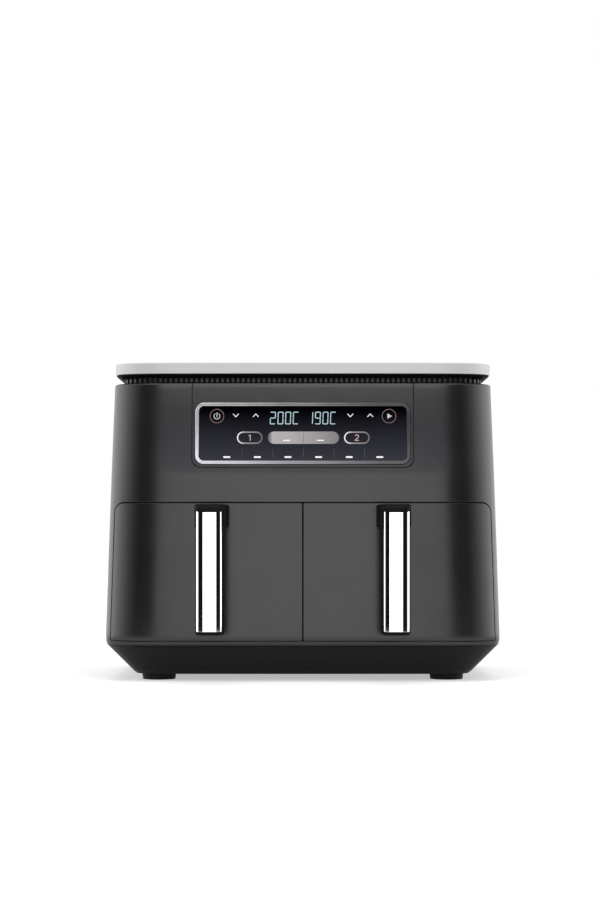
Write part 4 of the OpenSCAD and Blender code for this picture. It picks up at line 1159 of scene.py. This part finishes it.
# %% Grip
def grip():
    curve = STEM_LOW + CURVE_R * np.sin(np.linspace(0, math.pi / 2, 12))
    rings = [grip_ring(s, e) for s, e in round_edge(GRIP_Z0, GRIP_END_R, 6)]
    rings.append(grip_ring(COVER_Z0 - STEP_FAR))
    upright = np.linspace(COVER_Z0 + 4, STEM_LOW, 9)
    hollow_levels = [COVER_Z0 - STEP_NEAR, *upright, *curve[1:], COVER_TOP + STEP_NEAR]
    rings += [grip_ring(s, 0, HOLLOW) for s in hollow_levels]
    rings.append(grip_ring(COVER_TOP + STEP_FAR))
    rings += [grip_ring(s) for s in np.linspace(COVER_TOP + 0.8, GRIP_Z1 - GRIP_TOP_R, 6)]
    rings += [grip_ring(s, e) for s, e in round_edge(GRIP_Z1, GRIP_TOP_R, 6, top=True)[1:]]
    return stack(rings)


print("grip form", len(grip().f), "faces")

# %% [markdown]
# ## Chrome covers
# Each cover is a strip of chromed sheet that wraps round the front of its grip. A plain U with
# round corners would mirror the studio in two soft bands. Drawn sheet bends slowly at first and
# then sharply, so it mirrors a wide dark band and a narrow bright one beside the white front. The
# corner nearer the middle of the fryer is the tighter one.

# %% Chrome covers
COVER_FLAT = 6.35
SLOPE_OUT, BEVEL_OUT = 10.8, 3.8
SLOPE_IN, BEVEL_IN, HALF_IN = 17.0, 3.6, 12.0
COVER_SOFT = 0.3
COVER_CLOSE = 0.35, 0.6, 1.2


def cover_half(slope, bevel, half, n=10):
    """Half of the strip in plan, from its middle to its back edge: a flat front, a shallow bevel
    at an angle of slope degrees and a tight corner that ends at a distance half from the middle."""
    t = math.radians(slope)
    crease = 0.25
    pts = [(x, 0.0) for x in np.linspace(0, COVER_FLAT - crease, 5)]
    pts += [(COVER_FLAT - crease + 2 * crease * k, math.tan(t) * crease * k * k)
            for k in (0.25, 0.5, 0.75, 1.0)]
    x0, y0 = COVER_FLAT + crease, math.tan(t) * crease
    x1, y1 = COVER_FLAT + bevel, math.tan(t) * bevel
    pts += [(x0 + (x1 - x0) * k, y0 + (y1 - y0) * k) for k in (0.33, 0.67, 1.0)]
    r = (half - x1) / (1 - math.sin(t))
    cx, cy = half - r, y1 + r * math.cos(t)
    pts += [(cx + r * math.sin(a), cy - r * math.cos(a)) for a in np.linspace(t, math.pi / 2, n)[1:]]
    return np.array(pts + [(half, COVER_BACK - COVER_FRONT)])


def cover_ring(plan, s, e):
    """The bent strip at level s, e inside its outer surface, from one back edge to the other."""
    t = np.gradient(plan, axis=0)
    p = plan + unit(np.column_stack([-t[:, 1], t[:, 0]])) * e + [0, COVER_FRONT]
    return tilted(np.column_stack([p, np.full(len(p), s)]), s, COVER_FRONT)


def cover():
    inner = cover_half(SLOPE_IN, BEVEL_IN, HALF_IN) * [-1, 1]
    plan = np.concatenate([inner[:0:-1], cover_half(SLOPE_OUT, BEVEL_OUT, COVER_HALF)])
    levels = [(COVER_Z0, COVER_T)] + round_edge(COVER_Z0, COVER_SOFT, 4)
    levels += [(COVER_Z0 + k, 0) for k in COVER_CLOSE]
    levels += [(s, 0) for s in np.linspace(COVER_Z0 + 3, COVER_TOP - 3, 24)]
    levels += [(COVER_TOP - k, 0) for k in reversed(COVER_CLOSE)]
    levels += round_edge(COVER_TOP, COVER_SOFT, 4, top=True) + [(COVER_TOP, COVER_T)]
    piece = Moulding()
    piece.sweep([cover_ring(plan, s, e) for s, e in levels], closed=False)
    return piece


print("cover form", len(cover().f), "faces")


# %% Both handles
def make_handle_piece(piece, side, name, slot, node):
    """A piece of the right handle moved to its place, or its mirror image for the left one."""
    piece.shift(HANDLE_X)
    if side == "left":
        piece.mirror()
    piece.make(f"{side}_{name}", f"{side}_drawer", slot, FINISH[slot], f"{side}_{node}", sharp=50)


for side in ("right", "left"):
    make_handle_piece(grip(), side, "grip", "handle", "handle")
    make_handle_piece(cover(), side, "chrome_strip", "chrome", "handle_cover")

# %% [markdown]
# ## Lit figures
# The figures on the touch glass are windows in its black print, lit from behind. They could be
# painted on with a picture, but a picture would blur close up. Here each figure is a thin lit
# piece just proud of the glass, so that its edges stay sharp. The outlines of the zone keys and
# the middle key are silver, and their glow is a painted reflection, graded along the width and
# brighter towards the left.

# %% Lit finishes
def lit(name, color, strength, vary=0.08, along=None):
    """Light through a printed figure: its strength changes a little over the print, and along
    holds the stops of a strength that is graded across the width."""
    mat, nt, shader = node_material(name)
    shader.inputs["Base Color"].default_value = (0.02, 0.02, 0.02, 1)
    shader.inputs["Roughness"].default_value = 0.3
    shader.inputs["Specular IOR Level"].default_value = 0.2
    shader.inputs["Emission Color"].default_value = (*color, 1)
    glow = spread(nt, noise(nt, 160, 2), strength * (1 - vary), strength * (1 + vary))
    # along paints a reflection into the glow: its strength is multiplied along the width.
    if along:
        glow = maths(nt, "MULTIPLY", glow, graded(nt, along))
    nt.links.new(glow, shader.inputs["Emission Strength"])
    return mat


# The zone keys' outlines: a painted reflection, bright at each outline's left end and dim along the
# rest.
ZONE_KEY_PAINTED_REFLECTION = [(-0.0655, 1.0), (-0.0615, 0.8), (-0.056, 0.32), (-0.045, 0.24), (-0.039, 0.13),
                 (0.0395, 0.13), (0.0400, 1.0), (0.0435, 0.8), (0.049, 0.32), (0.060, 0.24),
                 (0.066, 0.13)]
# The middle key's painted reflection: its silver glow is brightest near its left end and falls off to
# the right.
MIDDLE_KEY_PAINTED_REFLECTION = [(-0.0345, 0.25), (-0.0325, 0.35), (-0.0295, 1.0), (-0.010, 0.92),
                   (0.010, 0.74), (0.030, 0.50), (0.0355, 0.40)]
LIT = {
    "white": lit("lit_white", (1, 1, 1), 0.95),
    "pale": lit("lit_pale", (0.75, 0.75, 0.75), 0.75),
    "cyan": lit("lit_cyan", (0.56, 0.80, 0.88), 0.8),
    "rose": lit("lit_rose", (0.80, 0.50, 0.50), 0.8),
    "pink": lit("lit_pink", (0.38, 0.22, 0.22), 0.75),
    "dim": lit("lit_dim", (0.07, 0.07, 0.075), 0.9),
    # The silver outlines and the silver middle key glow as a painted reflection, not as lamps.
    "outline": lit("outline_painted_reflection", (0.98, 0.97, 1.0), 0.9, 0.05, ZONE_KEY_PAINTED_REFLECTION),
    "silver": lit("silver_painted_reflection", (0.47, 0.44, 0.45), 0.9, 0.05, MIDDLE_KEY_PAINTED_REFLECTION),
}
print("lit finishes", len(LIT))

# %% [markdown]
# ## Drawing on the glass
# A text object could give the figures, but the displays' figures on the real panel are seven bars
# each, and the keys are circles, pills and strokes. So a few small helpers draw flat outlines,
# which are filled and laid on the surface in the same way as the panels.

# %% Outlines of the figures
PRINT_LIFT, PRINT_SUNK = 0.12, 0.05
MITRE_LEAST = 0.4


def circle(x, z, r, n=40):
    a = np.linspace(0, 2 * math.pi, n, endpoint=False)
    return np.column_stack([x + r * np.cos(a), z + r * np.sin(a)])


def arc(x, z, r, first, last, n=28):
    turns = [math.radians(a) for a in np.linspace(first, last, n)]
    return [(x + r * math.cos(a), z + r * math.sin(a)) for a in turns]


def pill(x0, x1, z0, z1, n=14):
    r = (z1 - z0) / 2
    a = np.linspace(-math.pi / 2, math.pi / 2, n)
    right = np.column_stack([x1 - r + r * np.cos(a), z0 + r + r * np.sin(a)])
    left = np.column_stack([x0 + r - r * np.cos(a), z0 + r - r * np.sin(a)])
    return np.concatenate([right, left])


def bar(x0, x1, z0, z1):
    return np.array([(x0, z0), (x1, z0), (x1, z1), (x0, z1)])


def stroke(points, width):
    """A line of some width through the points, with square ends and mitred corners."""
    pts = np.array(points, float)
    left, right = [], []
    for i, p in enumerate(pts):
        a = pts[i] - pts[i - 1] if i else pts[1] - pts[0]
        b = pts[i + 1] - pts[i] if i < len(pts) - 1 else a
        a, b = a / np.linalg.norm(a), b / np.linalg.norm(b)
        t = (a + b) / np.linalg.norm(a + b)
        n = np.array([-t[1], t[0]]) * width / 2 / max(MITRE_LEAST, float(t @ b))
        left.append(p + n)
        right.append(p - n)
    return np.array(right + left[::-1])


def printed(name, finish_name, *shapes, lift=PRINT_LIFT):
    """Thin raised figures on the glass. A shape is an outline in x and height, or an outline and
    a hole in it."""
    piece = Moulding()
    for shape in shapes:
        outer, *holes = [laid(loop) for loop in (shape if isinstance(shape, tuple) else (shape,))]
        flat, tris = fill(outer, holes)
        pts, nrm = surface(flat)
        piece.faces(tris, piece.add(pts + nrm * lift, nrm))
        for loop in (outer, *holes):
            hole = loop is not outer
            pts, nrm = surface(loop)
            sides = flat_sides(loop) * (-1 if hole else 1)
            piece.sweep([pts + nrm * lift, pts - nrm * PRINT_SUNK], [sides, sides], flip=not hole)
    piece.make(name, "cabinet", "glass", LIT[finish_name])


print("figures stand", PRINT_LIFT, "mm proud of the glass")

# %% Power, start and arrow keys
KEY_Z = BEZEL_Z1 - 13.3
POWER_X, START_X = -84.0, 84.4
RING_OUT, RING_IN = 6.95, 6.5
ARROW_Z = KEY_Z + 0.7
ARROW_HALF = 2.75

for side, x in (("left", POWER_X), ("right", START_X)):
    printed(f"{side}_key_ring", "pink", (circle(x, KEY_Z, RING_OUT), circle(x, KEY_Z, RING_IN)))
printed("power_symbol", "white", stroke(arc(POWER_X, KEY_Z, 2.9, 126, 414), 0.45),
        bar(POWER_X - 0.25, POWER_X + 0.25, KEY_Z - 1.0, KEY_Z + 3.4))
start_sign = [(START_X - 1.6, KEY_Z - 2.6), (START_X + 3.0, KEY_Z), (START_X - 1.6, KEY_Z + 2.6)]
printed("start_symbol", "pale", np.array(start_sign))
arrows = []
for x, up in ((-65.5, -1), (-46.0, 1), (46.5, -1), (66.0, 1)):
    foot = ARROW_Z - 1.5 * up
    arrows.append(stroke([(x - ARROW_HALF, foot), (x, ARROW_Z + 1.4 * up), (x + ARROW_HALF, foot)], 0.7))
printed("arrow_keys", "white", *arrows)

# %% Displays
SEGMENTS = {"0": "abcdef", "1": "bc", "2": "abged", "9": "abcdfg", "C": "adef"}
DIGIT_W, DIGIT_H, DIGIT_PITCH = 5.6, 12.3, 7.45
BAR_T, BAR_GAP, BAR_CUT, DIGIT_LEAN = 0.85, 0.22, 0.3, 0.04
DISPLAY_Z = KEY_Z - 8.1


def digit(char, x, z):
    """The lit bars of one seven-bar figure whose lower left corner is (x, z)."""
    low, high = BAR_GAP + BAR_CUT, DIGIT_W - BAR_GAP - BAR_CUT
    mid, top = DIGIT_H / 2, DIGIT_H - BAR_GAP - BAR_CUT
    left, right = (0, BAR_T), (DIGIT_W - BAR_T, DIGIT_W)
    upper, lower = (mid + BAR_GAP, top), (low, mid - BAR_GAP)
    places = {"a": (low, high, DIGIT_H - BAR_T, DIGIT_H), "d": (low, high, 0, BAR_T),
              "g": (low, high, mid - BAR_T / 2, mid + BAR_T / 2),
              "f": (*left, *upper), "e": (*left, *lower), "b": (*right, *upper), "c": (*right, *lower)}
    bars = []
    for key in SEGMENTS[char]:
        lit_bar = bar(*places[key])
        lit_bar[:, 0] += lit_bar[:, 1] * DIGIT_LEAN
        bars.append(lit_bar + [x, z])
    return bars


for name, reading, start in (("left_display", "200C", -32.3), ("right_display", "190C", 4.2)):
    bars = []
    for i, char in enumerate(reading):
        bars += digit(char, start + i * DIGIT_PITCH, DISPLAY_Z)
    printed(name, "cyan", *bars)

# %% Zone keys and the middle key
PILL_Z0, PILL_Z1 = KEY_Z - 27.3, KEY_Z - 15.2
PILL_T = 1.25
ONE_X, TWO_X = -51.9, 52.9
mid_z = (PILL_Z0 + PILL_Z1) / 2

for side, x0, x1 in (("left", -64.4, -39.4), ("right", 40.3, 65.4)):
    hole = pill(x0 + PILL_T, x1 - PILL_T, PILL_Z0 + PILL_T, PILL_Z1 - PILL_T)
    printed(f"{side}_zone_key", "outline", (pill(x0, x1, PILL_Z0, PILL_Z1), hole))
one = [(0.1, -3), (0.95, -3), (0.95, 3), (0.3, 3), (-1.1, 2.1), (-1.1, 1.35), (0.1, 2.0)]
printed("zone_number_1", "rose", np.array(one) + [ONE_X, mid_z])
two_arc = arc(TWO_X, mid_z + 1.25, 1.55, 165, -35, 14)
printed("zone_number_2", "rose", stroke(two_arc + [(TWO_X - 1.8, mid_z - 2.45)], 0.8),
        bar(TWO_X - 2.0, TWO_X + 2.0, mid_z - 3.0, mid_z - 2.25))
# The middle key's silver is a glow, a painted reflection.
printed("middle_key", "silver", pill(-34.2, 35.4, PILL_Z0, PILL_Z1), lift=0.08)
printed("middle_divider", "dim", bar(0.45, 0.85, PILL_Z0 + 1.4, PILL_Z1 - 1.4))

# %% Light bars and dividers
LIGHT_HALF = 3.3
ROW_Z = KEY_Z - 41.2
ROW_PITCH = 29.9
ROW_MID = 0.5


def light(x, z0, z1):
    return bar(x - LIGHT_HALF, x + LIGHT_HALF, z0, z1)


printed("middle_lights", "white", *[light(x, PILL_Z0 + 2.9, PILL_Z0 + 4.0) for x in (-15.9, 17.2)])
row_x = [ROW_MID + (k - 2.5) * ROW_PITCH for k in range(6)]
printed("row_lights", "white", *[light(x, ROW_Z + 0.1, ROW_Z + 1.75) for x in row_x])
divider_x = [0.6 + k * ROW_PITCH for k in range(-2, 3)]
printed("row_dividers", "dim", *[bar(x - 0.2, x + 0.2, ROW_Z + 1.0, ROW_Z + 8.6) for x in divider_x])
